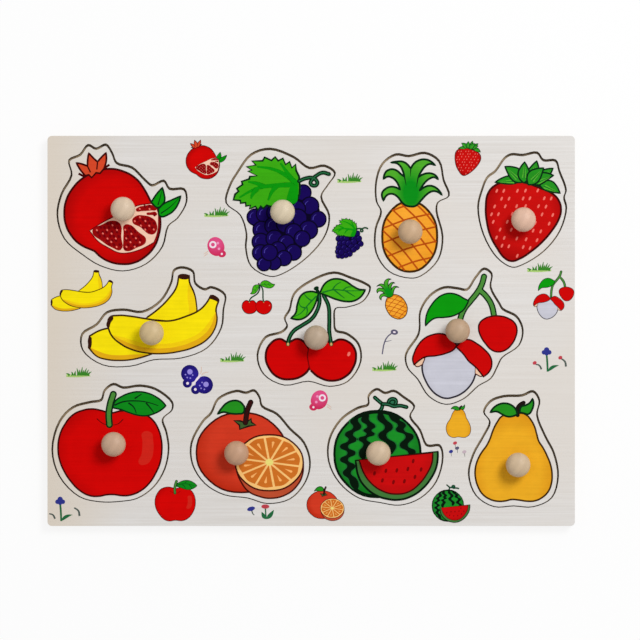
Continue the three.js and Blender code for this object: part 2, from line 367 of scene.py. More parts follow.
@dataclass(frozen=True)
class PlatedFinish:
    """Zinc-plated steel with the fine marks of drawing and tumbling."""

    name: str
    tone: Colour
    tarnish: Colour
    mark_scale: Scale = (2600.0, 2600.0, 900.0)
    mark_range: Range = (0.4, 0.75)
    mark_share: float = 0.6
    roughness: float = 0.34
    swing: Range = (-0.08, 0.12)
    specular: float = 0.5
    depth: float = 0.000008

    def material(self) -> bpy.types.Material:
        """Makes the plated steel.

        Returns:
            The material.
        """
        recipe = Recipe(self.name)
        marks = recipe.noise(recipe.spot(self.mark_scale), detail=3.0)
        share = recipe.spread(marks, *self.mark_range, 0.0, self.mark_share)
        colour = recipe.mix(share, linear(self.tone), linear(self.tarnish))
        recipe.feed(recipe.shader, {"Base Color": colour, "Metallic": 1.0})
        recipe.gloss(marks, self.roughness, self.swing, self.specular)
        recipe.relief(marks, self.depth)
        return recipe.material


@dataclass(frozen=True)
class Shade:
    """Second tone that an ink runs into, away from a middle point of its picture, in millimetres."""

    colour: Colour
    middle: Point
    reach: Point
    start: float = 0.7
    end: float = 1.02


@dataclass(frozen=True)
class InkFinish:
    """Printing ink: one tone, or two that run into each other, with the sheet's grain showing through."""

    colour: Colour
    shade: Shade | None = None
    grain_scale: Scale = (20.0, 800.0, 20.0)
    grain_tone: Range = (1.03, 0.92)
    blot_scale: Scale = (160.0, 160.0, 160.0)
    blot_tone: Range = (0.97, 1.04)
    roughness: float = 0.5
    swing: Range = (-0.05, 0.05)
    specular: float = 0.02
    depth: float = 0.000012

    def material(self, name: str) -> bpy.types.Material:
        """Makes the ink.

        Args:
            name: the material's name.

        Returns:
            The material.
        """
        recipe = Recipe(name)
        tone: object = linear(self.colour)
        if self.shade:
            tone = recipe.mix(self._run(recipe, self.shade), tone, linear(self.shade.colour))
        grain = recipe.noise(recipe.spot(self.grain_scale), detail=4.0, roughness=0.6)
        blot = recipe.noise(recipe.spot(self.blot_scale), detail=3.0)
        tone = recipe.mix(1.0, tone, recipe.spread(grain, *NOISE_RANGE, *self.grain_tone), "MULTIPLY")
        tone = recipe.mix(1.0, tone, recipe.spread(blot, *NOISE_RANGE, *self.blot_tone), "MULTIPLY")
        recipe.feed(recipe.shader, {"Base Color": tone})
        recipe.gloss(blot, self.roughness, self.swing, self.specular)
        recipe.relief(grain, self.depth)
        return recipe.material

    @staticmethod
    def _run(recipe: Recipe, shade: Shade) -> Socket:
        """Gives how far the ink has run into its second tone.

        Args:
            recipe: the material in the making.
            shade: the second tone and where it starts.

        Returns:
            A share from 0 to 1.
        """
        drawn = recipe.add("ShaderNodeUVMap", {}, uv_map=PICTURE_MAP).outputs["UV"]
        scale = (PICTURE_MAP_MM / shade.reach[0], PICTURE_MAP_MM / shade.reach[1], 0.0)
        shift = (-shade.middle[0] / shade.reach[0], -shade.middle[1] / shade.reach[1], 0.0)
        place = recipe.add("ShaderNodeMapping", {"Vector": drawn, "Location": shift, "Scale": scale})
        sockets = {"Vector": place.outputs["Vector"]}
        away = recipe.add("ShaderNodeVectorMath", sockets, operation="LENGTH").outputs["Value"]
        return recipe.spread(away, shade.start, shade.end, 0.0, 1.0)


class Ink(Enum):
    """The inks of the pictures."""

    POMEGRANATE = InkFinish((208, 4, 3), Shade((170, 4, 4), (-113.0, 65.5), (28.0, 28.0)))
    CROWN = InkFinish((214, 72, 40))
    PITH = InkFinish((244, 202, 176))
    ARIL = InkFinish((148, 6, 8))
    ARIL_DARK = InkFinish((116, 0, 10))
    CORAL = InkFinish((238, 116, 104))
    RED_LINE = InkFinish((66, 4, 5))
    LEAF = InkFinish((10, 150, 12))
    LEAF_LIGHT = InkFinish((59, 169, 18))
    CROWN_LEAF = InkFinish((10, 140, 24), Shade((78, 170, 42), (56.6, 79.0), (10.0, 16.0), 0.4, 1.1))
    LEAF_DARK = InkFinish((14, 136, 26))
    LEAF_VEIN = InkFinish((20, 116, 34))
    LEAF_FRESH = InkFinish((68, 175, 20))
    LEAF_COOL = InkFinish((36, 142, 30))
    LEAF_SHEEN = InkFinish((80, 174, 48))
    LEAF_LINE = InkFinish((6, 40, 18))
    STEM = InkFinish((74, 138, 56))
    GRAPE = InkFinish((22, 6, 84))
    GRAPE_LINE = InkFinish((7, 2, 32))
    GRAPE_GLINT = InkFinish((70, 60, 156))
    PINEAPPLE = InkFinish((248, 170, 52), Shade((238, 154, 34), (55.0, 58.0), (17.0, 24.0), 0.3, 1.05))
    LATTICE = InkFinish((186, 78, 14))
    AMBER_LINE = InkFinish((62, 36, 8))
    STRAWBERRY = InkFinish((198, 13, 11), Shade((166, 6, 6), (121.0, 66.0), (22.0, 25.0)))
    BANANA = InkFinish((250, 227, 12))
    BANANA_SHADE = InkFinish((244, 207, 16))
    BANANA_EDGE = InkFinish((228, 172, 22))
    BANANA_TIP = InkFinish((52, 22, 12))
    CHERRY = InkFinish((206, 3, 3))
    CHERRY_LINE = InkFinish((126, 3, 4))
    LYCHEE = InkFinish((202, 4, 4))
    LYCHEE_FLESH = InkFinish((200, 200, 211), Shade((190, 189, 200), (79.0, -22.0), (17.0, 18.0)))
    LYCHEE_LINE = InkFinish((44, 40, 50))
    PEEL_INSIDE = InkFinish((234, 194, 164))
    APPLE = InkFinish((211, 4, 3), Shade((188, 3, 3), (-110.0, -69.0), (35.0, 28.0), 0.8))
    APPLE_GLINT = InkFinish((208, 36, 25))
    ORANGE = InkFinish((210, 58, 34), Shade((184, 40, 16), (-38.0, -66.0), (28.0, 26.0)))
    ORANGE_RIM = InkFinish((188, 78, 48))
    ORANGE_LINE = InkFinish((70, 12, 6))
    SLICE = InkFinish((248, 196, 120))
    SEGMENT = InkFinish((206, 112, 36))
    SLICE_GLINT = InkFinish((250, 180, 104))
    SLICE_HEART = InkFinish((236, 224, 124))
    TWIG = InkFinish((50, 14, 14))
    TWIG_DARK = InkFinish((28, 18, 16))
    CALYX = InkFinish((62, 92, 44))
    MELON = InkFinish((26, 142, 38), Shade((18, 112, 30), (37.7, -68.0), (25.0, 24.5)))
    MELON_FRINGE = InkFinish((26, 108, 46))
    MELON_STRIPE = InkFinish((4, 22, 8))
    RIND = InkFinish((64, 118, 56))
    MELON_FLESH = InkFinish((200, 11, 13), Shade((176, 10, 12), (47.0, -72.0), (25.0, 22.0)))
    MELON_SEED = InkFinish((126, 4, 6))
    MELON_TWIG = InkFinish((44, 110, 78))
    STALK_TIP = InkFinish((206, 172, 108))
    PEAR = InkFinish((236, 172, 36), Shade((222, 152, 26), (115.0, -79.0), (22.0, 30.0)))
    GRASS = InkFinish((58, 132, 40))
    GRASS_SHADOW = InkFinish((172, 206, 118))
    PETAL_BLUE = InkFinish((48, 54, 138))
    PETAL_RED = InkFinish((190, 66, 78))
    PETAL_GREY = InkFinish((92, 88, 112))
    PETAL_PALE = InkFinish((196, 176, 186))
    STALK = InkFinish((36, 104, 62))
    STALK_GREY = InkFinish((82, 92, 86))
    WING_PINK = InkFinish((222, 78, 132), Shade((204, 44, 90), (0.0, 2.5), (5.0, 5.0), 0.5, 1.4))
    WING_PINK_SPOT = InkFinish((240, 150, 190))
    WING_BLUE = InkFinish((44, 32, 140), Shade((28, 18, 104), (0.0, 0.0), (9.0, 6.0), 0.5, 1.1))
    WING_BLUE_SPOT = InkFinish((150, 138, 218))
    WING_PALE = InkFinish((240, 226, 236))
    FEELER = InkFinish((222, 190, 172))


@cache
def ink_material(ink: Ink) -> bpy.types.Material:
    """Gives an ink's material, made once."""
    return ink.value.material(f"ink_{ink.name.lower()}")


def leaf(base: Point, tip: Point, width: float, bow: float = 0.0) -> list[Run]:
    """Draws a pointed leaf.

    Args:
        base: where it grows from.
        tip: its point.
        width: its greatest width.
        bow: how far its middle bows to the left of the line to the tip, as a share of its length.

    Returns:
        Its two edges, as the runs of an outline.
    """
    start = Vector(base)
    along = Vector(tip) - start
    left = Vector((-along.y, along.x))

    def edge(share: float, side: float) -> Point:
        """Gives a point of one edge.

        Args:
            share: how far along the leaf it lies, from 0 to 1.
            side: 1 for the left edge, -1 for the right one.

        Returns:
            The point.
        """
        swell = side * width / 2 * math.sin(math.pi * share ** LEAF_BELLY) / along.length
        spot = start + along * share + left * (bow * 4 * share * (1 - share) + swell)
        return spot.x, spot.y

    there = [edge(share, 1.0) for share in LEAF_STEPS]
    back = [edge(share, -1.0) for share in reversed(LEAF_STEPS)]
    return [[base, *there], [tip, *back]]


def oval(middle: Point, across: float, upright: float, turn: float = 0.0, count: int = OVAL_POINTS) -> Run:
    """Draws an oval.

    Args:
        middle: its middle.
        across: half its width before the turn.
        upright: half its height before the turn.
        turn: how far it is turned to the left, in degrees.
        count: how many points it has.

    Returns:
        The points round it.
    """
    spin = Matrix.Rotation(math.radians(turn), 2)
    points = []
    for step in range(count):
        angle = math.tau * step / count
        spot = spin @ Vector((across * math.cos(angle), upright * math.sin(angle)))
        points.append((middle[0] + spot.x, middle[1] + spot.y))
    return points


def holds(outline: Run, point: Point) -> bool:
    """Tells if a point lies inside an outline.

    Args:
        outline: the outline's points.
        point: the point.

    Returns:
        True if it lies inside.
    """
    inside = False
    for (ax, ay), (bx, by) in zip(outline, [*outline[1:], outline[0]]):
        if (ay > point[1]) != (by > point[1]) and point[0] < (bx - ax) * (point[1] - ay) / (by - ay) + ax:
            inside = not inside
    return inside


@dataclass(frozen=True)
class SeedGrid:
    """Seeds in loose staggered rows, in millimetres.

    The corner is the first seed's place, the pitch the distance along a row and from row to row, and the
    slope the rise from seed to seed. Each seed strays from there by waves that the beats set. Room is kept
    free on both its sides.
    """

    corner: Point
    pitch: Point
    rows: int
    places: int
    stray: Point
    row_beat: float
    place_beat: float
    rise_beat: float
    room: float
    slope: float = 0.0

    def within(self, outlines: Sequence[Run]) -> list[Point]:
        """Sets the seeds out.

        Args:
            outlines: the shapes that hold the seeds. Those without room on both sides are left out.

        Returns:
            The seeds' middles.
        """
        seeds = []
        for row in range(self.rows):
            for place in range(self.places):
                sway = self.row_beat * row + self.place_beat * place
                across = self.pitch[0] * (place + row % 2 / 2)
                rise = self.pitch[1] * row + self.slope * place
                x = self.corner[0] + across + self.stray[0] * math.sin(sway)
                y = self.corner[1] + rise + self.stray[1] * math.cos(self.rise_beat * sway)
                sides = ((x - self.room, y), (x + self.room, y))
                if any(all(holds(outline, side) for side in sides) for outline in outlines):
                    seeds.append((x, y))
        return seeds


@dataclass
class Press:
    """Prints ink shapes on a wooden face, each layer a hair above the one before.

    Shapes are drawn in millimetres on the picture's own ground, and carried to the board from there. A line
    takes up a share of its layer's height. A filled shape sinks a little way into the wood.
    """

    name: str
    steps: int = 5
    layer: float = 0.005
    line_share: float = 0.7
    sink: float = 0.02
    level: int = 0
    carry: Matrix = field(default_factory=Matrix)
    inks: list[Ink] = field(default_factory=list)
    sheet: bmesh.types.BMesh = field(default_factory=bmesh.new)

    def place(self, zero: Point, spot: Point, scale: float = 1.0, turn: float = 0.0) -> None:
        """Says where the next shapes go.

        Args:
            zero: point of the picture's ground that is carried to the spot.
            spot: where it goes on the board, in millimetres.
            scale: how much the picture grows or shrinks.
            turn: how far it is turned to the left, in degrees.
        """
        at = Matrix.Translation((spot[0] * MM, spot[1] * MM, FACE_HEIGHT))
        size = Matrix.Diagonal((scale * MM, scale * MM, MM, 1.0))
        spin = Matrix.Rotation(math.radians(turn), 4, "Z")
        self.carry = at @ spin @ size @ Matrix.Translation((-zero[0], -zero[1], 0.0))
        self.level = 0

    def up(self) -> "Press":
        """Puts the next shapes over the ones before."""
        self.level += 1
        return self

    def fill(self, ink: Ink, *runs: Run, rim: Ink | None = None, width: float = 0.9) -> None:
        """Prints a filled shape.

        Args:
            ink: its ink.
            *runs: the stretches of its outline in order, with a corner where one ends and the next starts.
            rim: ink of a line round it, if it has one.
            width: that line's width.
        """
        top = self.level * self.layer
        curve = self._curve(runs, closed=True)
        curve.dimensions = "2D"
        curve.fill_mode = "BOTH"
        curve.extrude = (top + self.sink) / 2
        self._lay(curve, ink, Matrix.Translation((0.0, 0.0, (top - self.sink) / 2)))
        if rim:
            self.line(rim, *runs, width=width, closed=True)

    def line(self, ink: Ink, *runs: Run, width: float, tip: float = 1.0, closed: bool = False) -> None:
        """Prints a line.

        Args:
            ink: its ink.
            *runs: its stretches, as for fill.
            width: its width at the start.
            tip: its width at the end, as a share of that.
            closed: whether it comes back to its start.
        """
        curve = self._curve(runs, closed)
        curve.dimensions = "3D"
        curve.twist_mode = "Z_UP"
        curve.bevel_depth = width / 2
        curve.bevel_resolution = 0
        curve.use_fill_caps = True
        points = curve.splines[0].bezier_points
        for index, point in enumerate(points):
            point.radius = 1.0 + (tip - 1.0) * index / (len(points) - 1)
        flat = Matrix.Diagonal((1.0, 1.0, self.line_share * self.layer / width, 1.0))
        self._lay(curve, ink, Matrix.Translation((0.0, 0.0, (self.level + 0.5) * self.layer)) @ flat)

    def dots(self, ink: Ink, middles: Iterable[Point], across: float, upright: float,
             turn: float = 0.0) -> None:
        """Prints small ovals.

        Args:
            ink: their ink.
            middles: their middles.
            across: half the width of each.
            upright: half the height of each.
            turn: how far each is turned to the left, in degrees.
        """
        for middle in middles:
            self.fill(ink, oval(middle, across, upright, turn, DOT_POINTS))

    def stalk(self, ink: Ink, rim: Ink, path: Run, width: float, edge: float) -> None:
        """Prints a stalk with rounded ends and a line round it.

        Args:
            ink: its ink.
            rim: ink of the line round it.
            path: the points that it passes through.
            width: its width without the line.
            edge: the line's width.
        """
        for tone, reach in ((rim, width / 2 + edge), (ink, width / 2)):
            self.up().line(tone, path, width=2 * reach)
            self.up().dots(tone, (path[0], path[-1]), reach, reach)

    def lift(self, body: str) -> None:
        """Ends the printing.

        Args:
            body: the CAD body that the print moves with.
        """
        piece = dress(self.name, self.sheet, [ink_material(ink) for ink in self.inks])
        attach(piece, body)

    def _curve(self, runs: Sequence[Run], closed: bool) -> bpy.types.Curve:
        """Makes a curve through runs of points, with corners between them.

        Args:
            runs: the stretches; a single closed one has no corner.
            closed: whether the curve comes back to its start.

        Returns:
            The curve.
        """
        curve = bpy.data.curves.new(self.name, "CURVE")
        curve.resolution_u = self.steps
        spline = curve.splines.new("BEZIER")
        spline.bezier_points.add(sum(len(run) for run in runs) - 1)
        spline.use_cyclic_u = closed
        index = 0
        for run in runs:
            for place, (x, y) in enumerate(run):
                point = spline.bezier_points[index]
                point.co = (x, y, 0.0)
                handle = "VECTOR" if place == 0 and len(runs) > 1 else "AUTO"
                point.handle_left_type = point.handle_right_type = handle
                index += 1
        return curve

    def _lay(self, curve: bpy.types.Curve, ink: Ink, rise: Matrix) -> None:
        """Turns a drawn curve into a mesh and adds it to the print.

        Args:
            curve: the curve, which is used up.
            ink: the shape's ink.
            rise: how it is flattened and lifted, in millimetres.
        """
        holder = bpy.data.objects.new(self.name, curve)
        mesh = bpy.data.meshes.new_from_object(holder)
        bpy.data.objects.remove(holder)
        bpy.data.curves.remove(curve)
        if ink not in self.inks:
            self.inks.append(ink)
        shape = bmesh.new()
        shape.from_mesh(mesh)
        bmesh.ops.remove_doubles(shape, verts=shape.verts, dist=MERGE_MM)
        bmesh.ops.dissolve_degenerate(shape, edges=shape.edges, dist=MERGE_MM)
        bmesh.ops.recalc_face_normals(shape, faces=shape.faces)
        drawn = shape.loops.layers.uv.get(PICTURE_MAP) or shape.loops.layers.uv.new(PICTURE_MAP)
        for face in shape.faces:
            face.material_index = self.inks.index(ink)
            face.smooth = False
            for loop in face.loops:
                loop[drawn].uv = loop.vert.co.xy / PICTURE_MAP_MM
        bmesh.ops.transform(shape, matrix=self.carry @ rise, verts=shape.verts)
        shape.to_mesh(mesh)
        shape.free()
        self.sheet.from_mesh(mesh)
        bpy.data.meshes.remove(mesh)


def dress(name: str, shape: bmesh.types.BMesh, materials: Sequence[bpy.types.Material]) -> bpy.types.Object:
    """Makes a finished shape an object of the scene.

    Args:
        name: the object's name.
        shape: its shape, which is used up.
        materials: its materials, in the order of its faces' numbers.

    Returns:
        The object, at the origin.
    """
    mesh = bpy.data.meshes.new(name)
    shape.to_mesh(mesh)
    shape.free()
    for material in materials:
        mesh.materials.append(material)
    piece = bpy.data.objects.new(name, mesh)
    bpy.context.scene.collection.objects.link(piece)
    log.info("%s: %d faces", name, len(mesh.polygons))
    return piece


def soften(shape: bmesh.types.BMesh) -> None:
    """Shades a shape smooth, except along its sharp edges.

    Args:
        shape: the shape.
    """
    for face in shape.faces:
        face.smooth = True
    for edge in shape.edges:
        edge.smooth = edge.is_manifold and edge.calc_face_angle() < CREASE


def spin_profile(shape: bmesh.types.BMesh, profile: Iterable[Point], sides: int) -> None:
    """Spins a half profile once round the upright axis.

    Args:
        shape: the shape that the skin is added to.
        profile: radius and height of each point, in metres.
        sides: how many sides the skin has.
    """
    verts = [shape.verts.new((radius, 0.0, height)) for radius, height in profile]
    edges = [shape.edges.new(pair) for pair in zip(verts, verts[1:])]
    bmesh.ops.spin(shape, geom=verts + edges, cent=(0, 0, 0), axis=(0, 0, 1), angle=math.tau, steps=sides,
                   use_merge=True)
    bmesh.ops.remove_doubles(shape, verts=shape.verts, dist=MERGE_MM * MM)


class Picture:
    """A picture, drawn in millimetres on a ground of its own, which for a fruit is the board's.

    The knob is the point of that ground under the knob's middle.
    """

    knob: Point = (0.0, 0.0)

    def draw(self, press: Press) -> None:
        """Prints the picture."""
        raise NotImplementedError


class Pomegranate(Picture):
    """A pomegranate with its crown, cut open to show the seeds."""

    knob = (-107.1, 69.2)
    dark_seeds = SeedGrid(
        corner=(-126, 44.5), pitch=(2.7, 2.4), rows=12, places=18, stray=(0.4, 0.3), row_beat=7.3,
        place_beat=4.1, rise_beat=3.0, room=0.7)
    light_seeds = replace(dark_seeds, corner=(-124.7, 45.8), pitch=(5.4, 2.4))

    def draw(self, press: Press) -> None:
        """Prints the crown, the body, the cut face with its seeds and two leaves.

        Args:
            press: the press that prints it.
        """
        press.up().fill(
            Ink.POMEGRANATE,
            [(-123.7, 45.6), (-132.4, 49.8), (-137.2, 54.9), (-140, 60.6), (-140.9, 67), (-139.8, 74.5),
             (-136, 81.5), (-130.5, 87), (-123, 90.8), (-115.5, 92.4), (-108, 91.2), (-100.1, 86.8),
             (-95.4, 80.8)],
            [(-91.4, 73.2), (-87.6, 69), (-86.2, 62.3), (-87.1, 54.9), (-89.9, 47.8), (-95.6, 41.9),
             (-101.5, 38.9), (-108.1, 38.2), (-114.9, 39.5), (-120, 42.2)], rim=Ink.RED_LINE, width=1.2)
        press.up().line(Ink.RED_LINE, [(-132.8, 89.7), (-129.4, 88)], width=1.3)
        press.line(Ink.RED_LINE, [(-118.4, 92.6), (-115.2, 94.8)], width=1.3)
        press.up().fill(
            Ink.CROWN, [(-129, 88.6), (-131.6, 91.6)], [(-134.1, 95.8), (-131, 95.2)],
            [(-127.7, 94), (-127.6, 97.5)], [(-127, 101.4), (-124.4, 98.6)], [(-122, 96.4), (-119.8, 99)],
            [(-117.1, 101.6), (-117, 97)], [(-118.2, 92.6)], [(-120.6, 89.8)], [(-122.8, 90.2)],
            [(-125.3, 87.4)], [(-127, 89)], rim=Ink.RED_LINE, width=1.1)
        press.up().line(Ink.RED_LINE, [(-127.7, 94), (-126, 90.4)], width=0.8)
        press.line(Ink.RED_LINE, [(-122, 96.4), (-122.4, 92)], width=0.8)
        press.up().fill(
            Ink.PITH, [(-126.5, 57.2), (-121, 60.8), (-116, 63.6), (-108, 67.4), (-99.6, 71.4)],
            [(-91.4, 72.7), (-88.2, 69.4), (-87.3, 62.3), (-88.2, 55)],
            [(-89.9, 50.6), (-93.3, 48.6), (-99, 46), (-106.9, 44.4), (-110.3, 44.8), (-116, 47.6),
             (-121.7, 51.2)], rim=Ink.ARIL_DARK, width=0.6)
        cells = (
            [(-125, 57.2), (-119.5, 60.7), (-113, 63), (-109, 61), (-108.5, 54), (-108.8, 46.3),
             (-113.5, 47.5), (-119.2, 51)],
            [(-107, 60.2), (-104.1, 60.8), (-99, 56.8), (-94.3, 51.5), (-100.1, 47.3), (-105.8, 45.6),
             (-107.2, 46.8), (-107.4, 51), (-107.2, 56)],
            [(-102.3, 62.6), (-100.1, 65.6), (-96.2, 66), (-90.5, 64.2), (-88.5, 61.7), (-88.7, 56.4),
             (-91.6, 55), (-97.3, 59)],
            [(-100.2, 68.8), (-98.4, 70.8), (-95.4, 71.4), (-91.8, 72), (-89.8, 71), (-88.6, 69.2),
             (-91.6, 68.7), (-96, 68.4)],
            [(-94.2, 66.9), (-91.6, 67.7), (-88.8, 67.8), (-88.2, 66.2), (-91, 66.1)],
        )
        press.up()
        for cell in cells:
            press.fill(Ink.ARIL, cell)
        press.up().dots(Ink.ARIL_DARK, self.dark_seeds.within(cells), 0.7, 0.95, 30)
        press.up().dots(Ink.CORAL, self.light_seeds.within(cells), 0.45, 0.6, 30)
        leaves = (
            ([(-91.4, 73.4), (-88.6, 77.8)],
             [(-85.1, 81.8), (-84.1, 78), (-83.8, 74.4), (-85, 72.2), (-87.9, 70.4)]),
            ([(-87.4, 69.6), (-84.5, 72.4), (-80, 74.6)],
             [(-74.6, 77), (-75.8, 73.2), (-78, 69.4), (-81.4, 66.6), (-86.4, 65.5)]),
        )
        for edges in leaves:
            press.up().fill(Ink.LEAF, *edges, rim=Ink.LEAF_LINE, width=1.0)
        for vein in ([(-87.6, 71.8), (-86.4, 76), (-85.2, 80.6)], [(-86, 67), (-80.6, 70.8), (-75.4, 76)]):
            press.up().line(Ink.LEAF_LINE, vein, width=0.7, tip=0.3)


class Grapes(Picture):
    """A bunch of dark grapes under a toothed leaf with a tendril."""

    knob = (-16.3, 67.6)

    def draw(self, press: Press) -> None:
        """Prints the grapes, the leaf with its veins over them, and the tendril.

        Args:
            press: the press that prints it.
        """
        bunch = (
            (-4.7, 78.8, 4.5), (-32, 64.9, 4.6), (-0.8, 71.3, 5), (-26.5, 66.6, 4.8), (-20.6, 67.4, 4.8),
            (-8, 69.6, 4.6), (3.8, 63.7, 4.5), (-7.7, 64.3, 5.2), (-28.3, 57.6, 4.9), (-1.7, 57.6, 5.2),
            (-21.6, 60, 4.9), (-15, 61, 4.9), (-10.2, 56.4, 4.8), (-28.9, 50.9, 4.8), (-21, 52.7, 4.8),
            (-5.3, 52.7, 4.5), (-14.4, 50.3, 4.6), (-28.9, 44.6, 4.6), (-19, 46.4, 4.5), (-10.2, 44.9, 4.5),
            (-15.6, 41.6, 4.3), (-21.3, 38.9, 4), (-26.9, 38.3, 3.9), (-23.9, 44.8, 4.6),
        )
        press.up().fill(
            Ink.GRAPE_LINE,
            [(-8, 78), (0, 76), (5, 68), (3, 57), (-4, 49), (-9, 43), (-17, 39), (-26, 39), (-31, 50),
             (-33, 64), (-28, 70), (-16, 74)])
        for x, y, radius in bunch:
            press.up().fill(Ink.GRAPE, oval((x, y), radius, radius), rim=Ink.GRAPE_LINE, width=0.8)
            arc = [(x - 2.9, y - 0.4), (x - 2.5, y + 1.5), (x - 1, y + 2.8)]
            press.up().line(Ink.GRAPE_GLINT, arc, width=0.6, tip=0.4)
        edge = (
            (-44.3, 74.7), (-43.4, 77.9), (-41.4, 79.6), (-42.4, 81.2), (-39.1, 83.4), (-39.6, 85.2),
            (-35.3, 86.6), (-35, 88), (-30.8, 88.4), (-36, 91), (-33.8, 91.6), (-36.8, 93.6), (-31.5, 94.5),
            (-33.7, 96.8), (-27.7, 96.9), (-26.6, 98.9), (-22.7, 97.1), (-20.6, 99.1), (-18.9, 96.9),
            (-16.2, 98.3), (-14.7, 94.8), (-12.4, 96.4), (-11.1, 92.9), (-9, 94.9), (-8.7, 91.4), (-7, 88),
            (-6.6, 82), (-6.8, 78), (-8, 75), (-10, 72.4), (-16, 71), (-22, 70.6), (-25.4, 71.6),
            (-27.4, 69.8), (-28.8, 71.2), (-30.4, 69), (-31.8, 71), (-35.2, 69.6), (-34.6, 71.6),
            (-37.2, 71.2), (-37.4, 73.2), (-40.2, 72.8), (-40.4, 74.4),
        )
        press.up().fill(Ink.LEAF_LIGHT, *([point] for point in edge), rim=Ink.LEAF_LINE, width=1.2)
        veins = (
            [(-7.6, 83.4), (-18, 83), (-28, 82), (-34, 80), (-41, 76)],
            [(-8, 84), (-15, 89), (-22, 92.2), (-31, 93.6)], [(-10, 85), (-13.6, 90), (-17.6, 95.6)],
            [(-20, 82.6), (-22.4, 79.4), (-24.6, 74.4)], [(-27, 82.2), (-31, 84), (-36, 85)],
            [(-31, 81), (-33.4, 78), (-34.4, 75.4)],
        )
        for vein in veins:
            press.up().line(Ink.LEAF, vein, width=3.2, tip=0.3)
        press.up().fill(Ink.LEAF, [(-7.7, 83), (-7.6, 78), (-9, 73)], [(-14.6, 73), (-13.4, 78), (-11, 83)])
        tendril = [(-7, 85.4), (-3, 87), (0.6, 87.2), (3, 85.6), (3.2, 83.6), (1.4, 82.8), (-0.4, 84),
                   (0.6, 86.4), (3, 88.6), (6.4, 90.2), (10, 89.4)]
        press.stalk(Ink.STALK, Ink.LEAF_LINE, tendril, 0.7, 0.8)


class Pineapple(Picture):
    """An upright pineapple with a crown of curled leaves."""

    knob = (56.1, 56.5)
    body = (56.0, 53.9, 15.6, 20.0)
    lattice_reach = 0.96
    lattice_bow = 0.06

    def draw(self, press: Press) -> None:
        """Prints the body, its lattice and the crown.

        Args:
            press: the press that prints it.
        """
        x, y, across, upright = self.body
        press.up().fill(Ink.PINEAPPLE, oval((x, y), across, upright), rim=Ink.AMBER_LINE, width=1.3)
        for lean, offsets in ((17.0, range(-15, 18, 8)), (-48.0, range(-15, 17, 6))):
            press.up()
            for offset in offsets:
                press.line(Ink.LATTICE, self._chord(lean, offset), width=0.95)
        press.up().fill(
            Ink.CROWN_LEAF, [(41, 74.2), (40.2, 78.4), (42.2, 81), (45, 82.2), (48, 81.9)],
            [(50.6, 80.6), (48.6, 85), (46, 87.4), (43.5, 88)],
            [(41, 86.6), (42.2, 90.4), (44, 91.8), (46.4, 92.2), (49, 91.2), (51, 89.4)],
            [(53, 88), (52, 91.4), (50.6, 94), (48.6, 95.6)],
            [(45.2, 96), (49, 96.6), (52, 96.5), (54.4, 95.2)],
            [(56.6, 92.6), (58.2, 95.2), (61, 97.2), (64.5, 97.8), (67.6, 96.9)],
            [(70.6, 94.4), (67.6, 95.2), (65, 94), (63, 91.6)],
            [(60.8, 87.6), (63, 89), (66, 89.9), (69, 89.6), (71, 88.4)],
            [(72.2, 86.4), (70, 87.6), (67.6, 87), (65, 85), (63, 82.4)],
            [(61.6, 80), (64, 81.8), (67, 82.8), (70, 82.2), (72.6, 80.2)],
            [(74.4, 77.5), (71.6, 79.4), (68.6, 79.6), (65.4, 77.6), (62.6, 74.6), (59.4, 71.4), (56.4, 71),
             (53.6, 71.7), (51.4, 73.6), (49, 76.6), (46, 78.2), (43, 77.4)], rim=Ink.LEAF_LINE, width=1.2)
        for crease in ([(56.6, 93), (56.4, 88)], [(53, 88), (54, 83)], [(60.8, 87.6), (59.8, 82)]):
            press.up().line(Ink.LEAF_LINE, crease, width=0.8, tip=0.2)

    def _chord(self, lean: float, offset: float) -> Run:
        """Gives a lattice line across the body, slightly bowed.

        Args:
            lean: how far it rises to the right, in degrees.
            offset: how far it passes above the body's middle.

        Returns:
            Its two ends and its middle.
        """
        x, y, across, upright = self.body
        along = Vector((math.cos(math.radians(lean)), math.sin(math.radians(lean))))
        start = Vector((-along.y, along.x)) * offset
        a = (along.x / across) ** 2 + (along.y / upright) ** 2
        b = start.x * along.x / across ** 2 + start.y * along.y / upright ** 2
        c = (start.x / across) ** 2 + (start.y / upright) ** 2 - self.lattice_reach
        half = math.sqrt(max(b * b - a * c, 0.0)) / a
        middle = start - along * (b / a)
        bow = Vector((-along.y, along.x)) * (self.lattice_bow * half)
        ends = (middle - along * half, middle + bow, middle + along * half)
        return [(x + end.x, y + end.y) for end in ends]


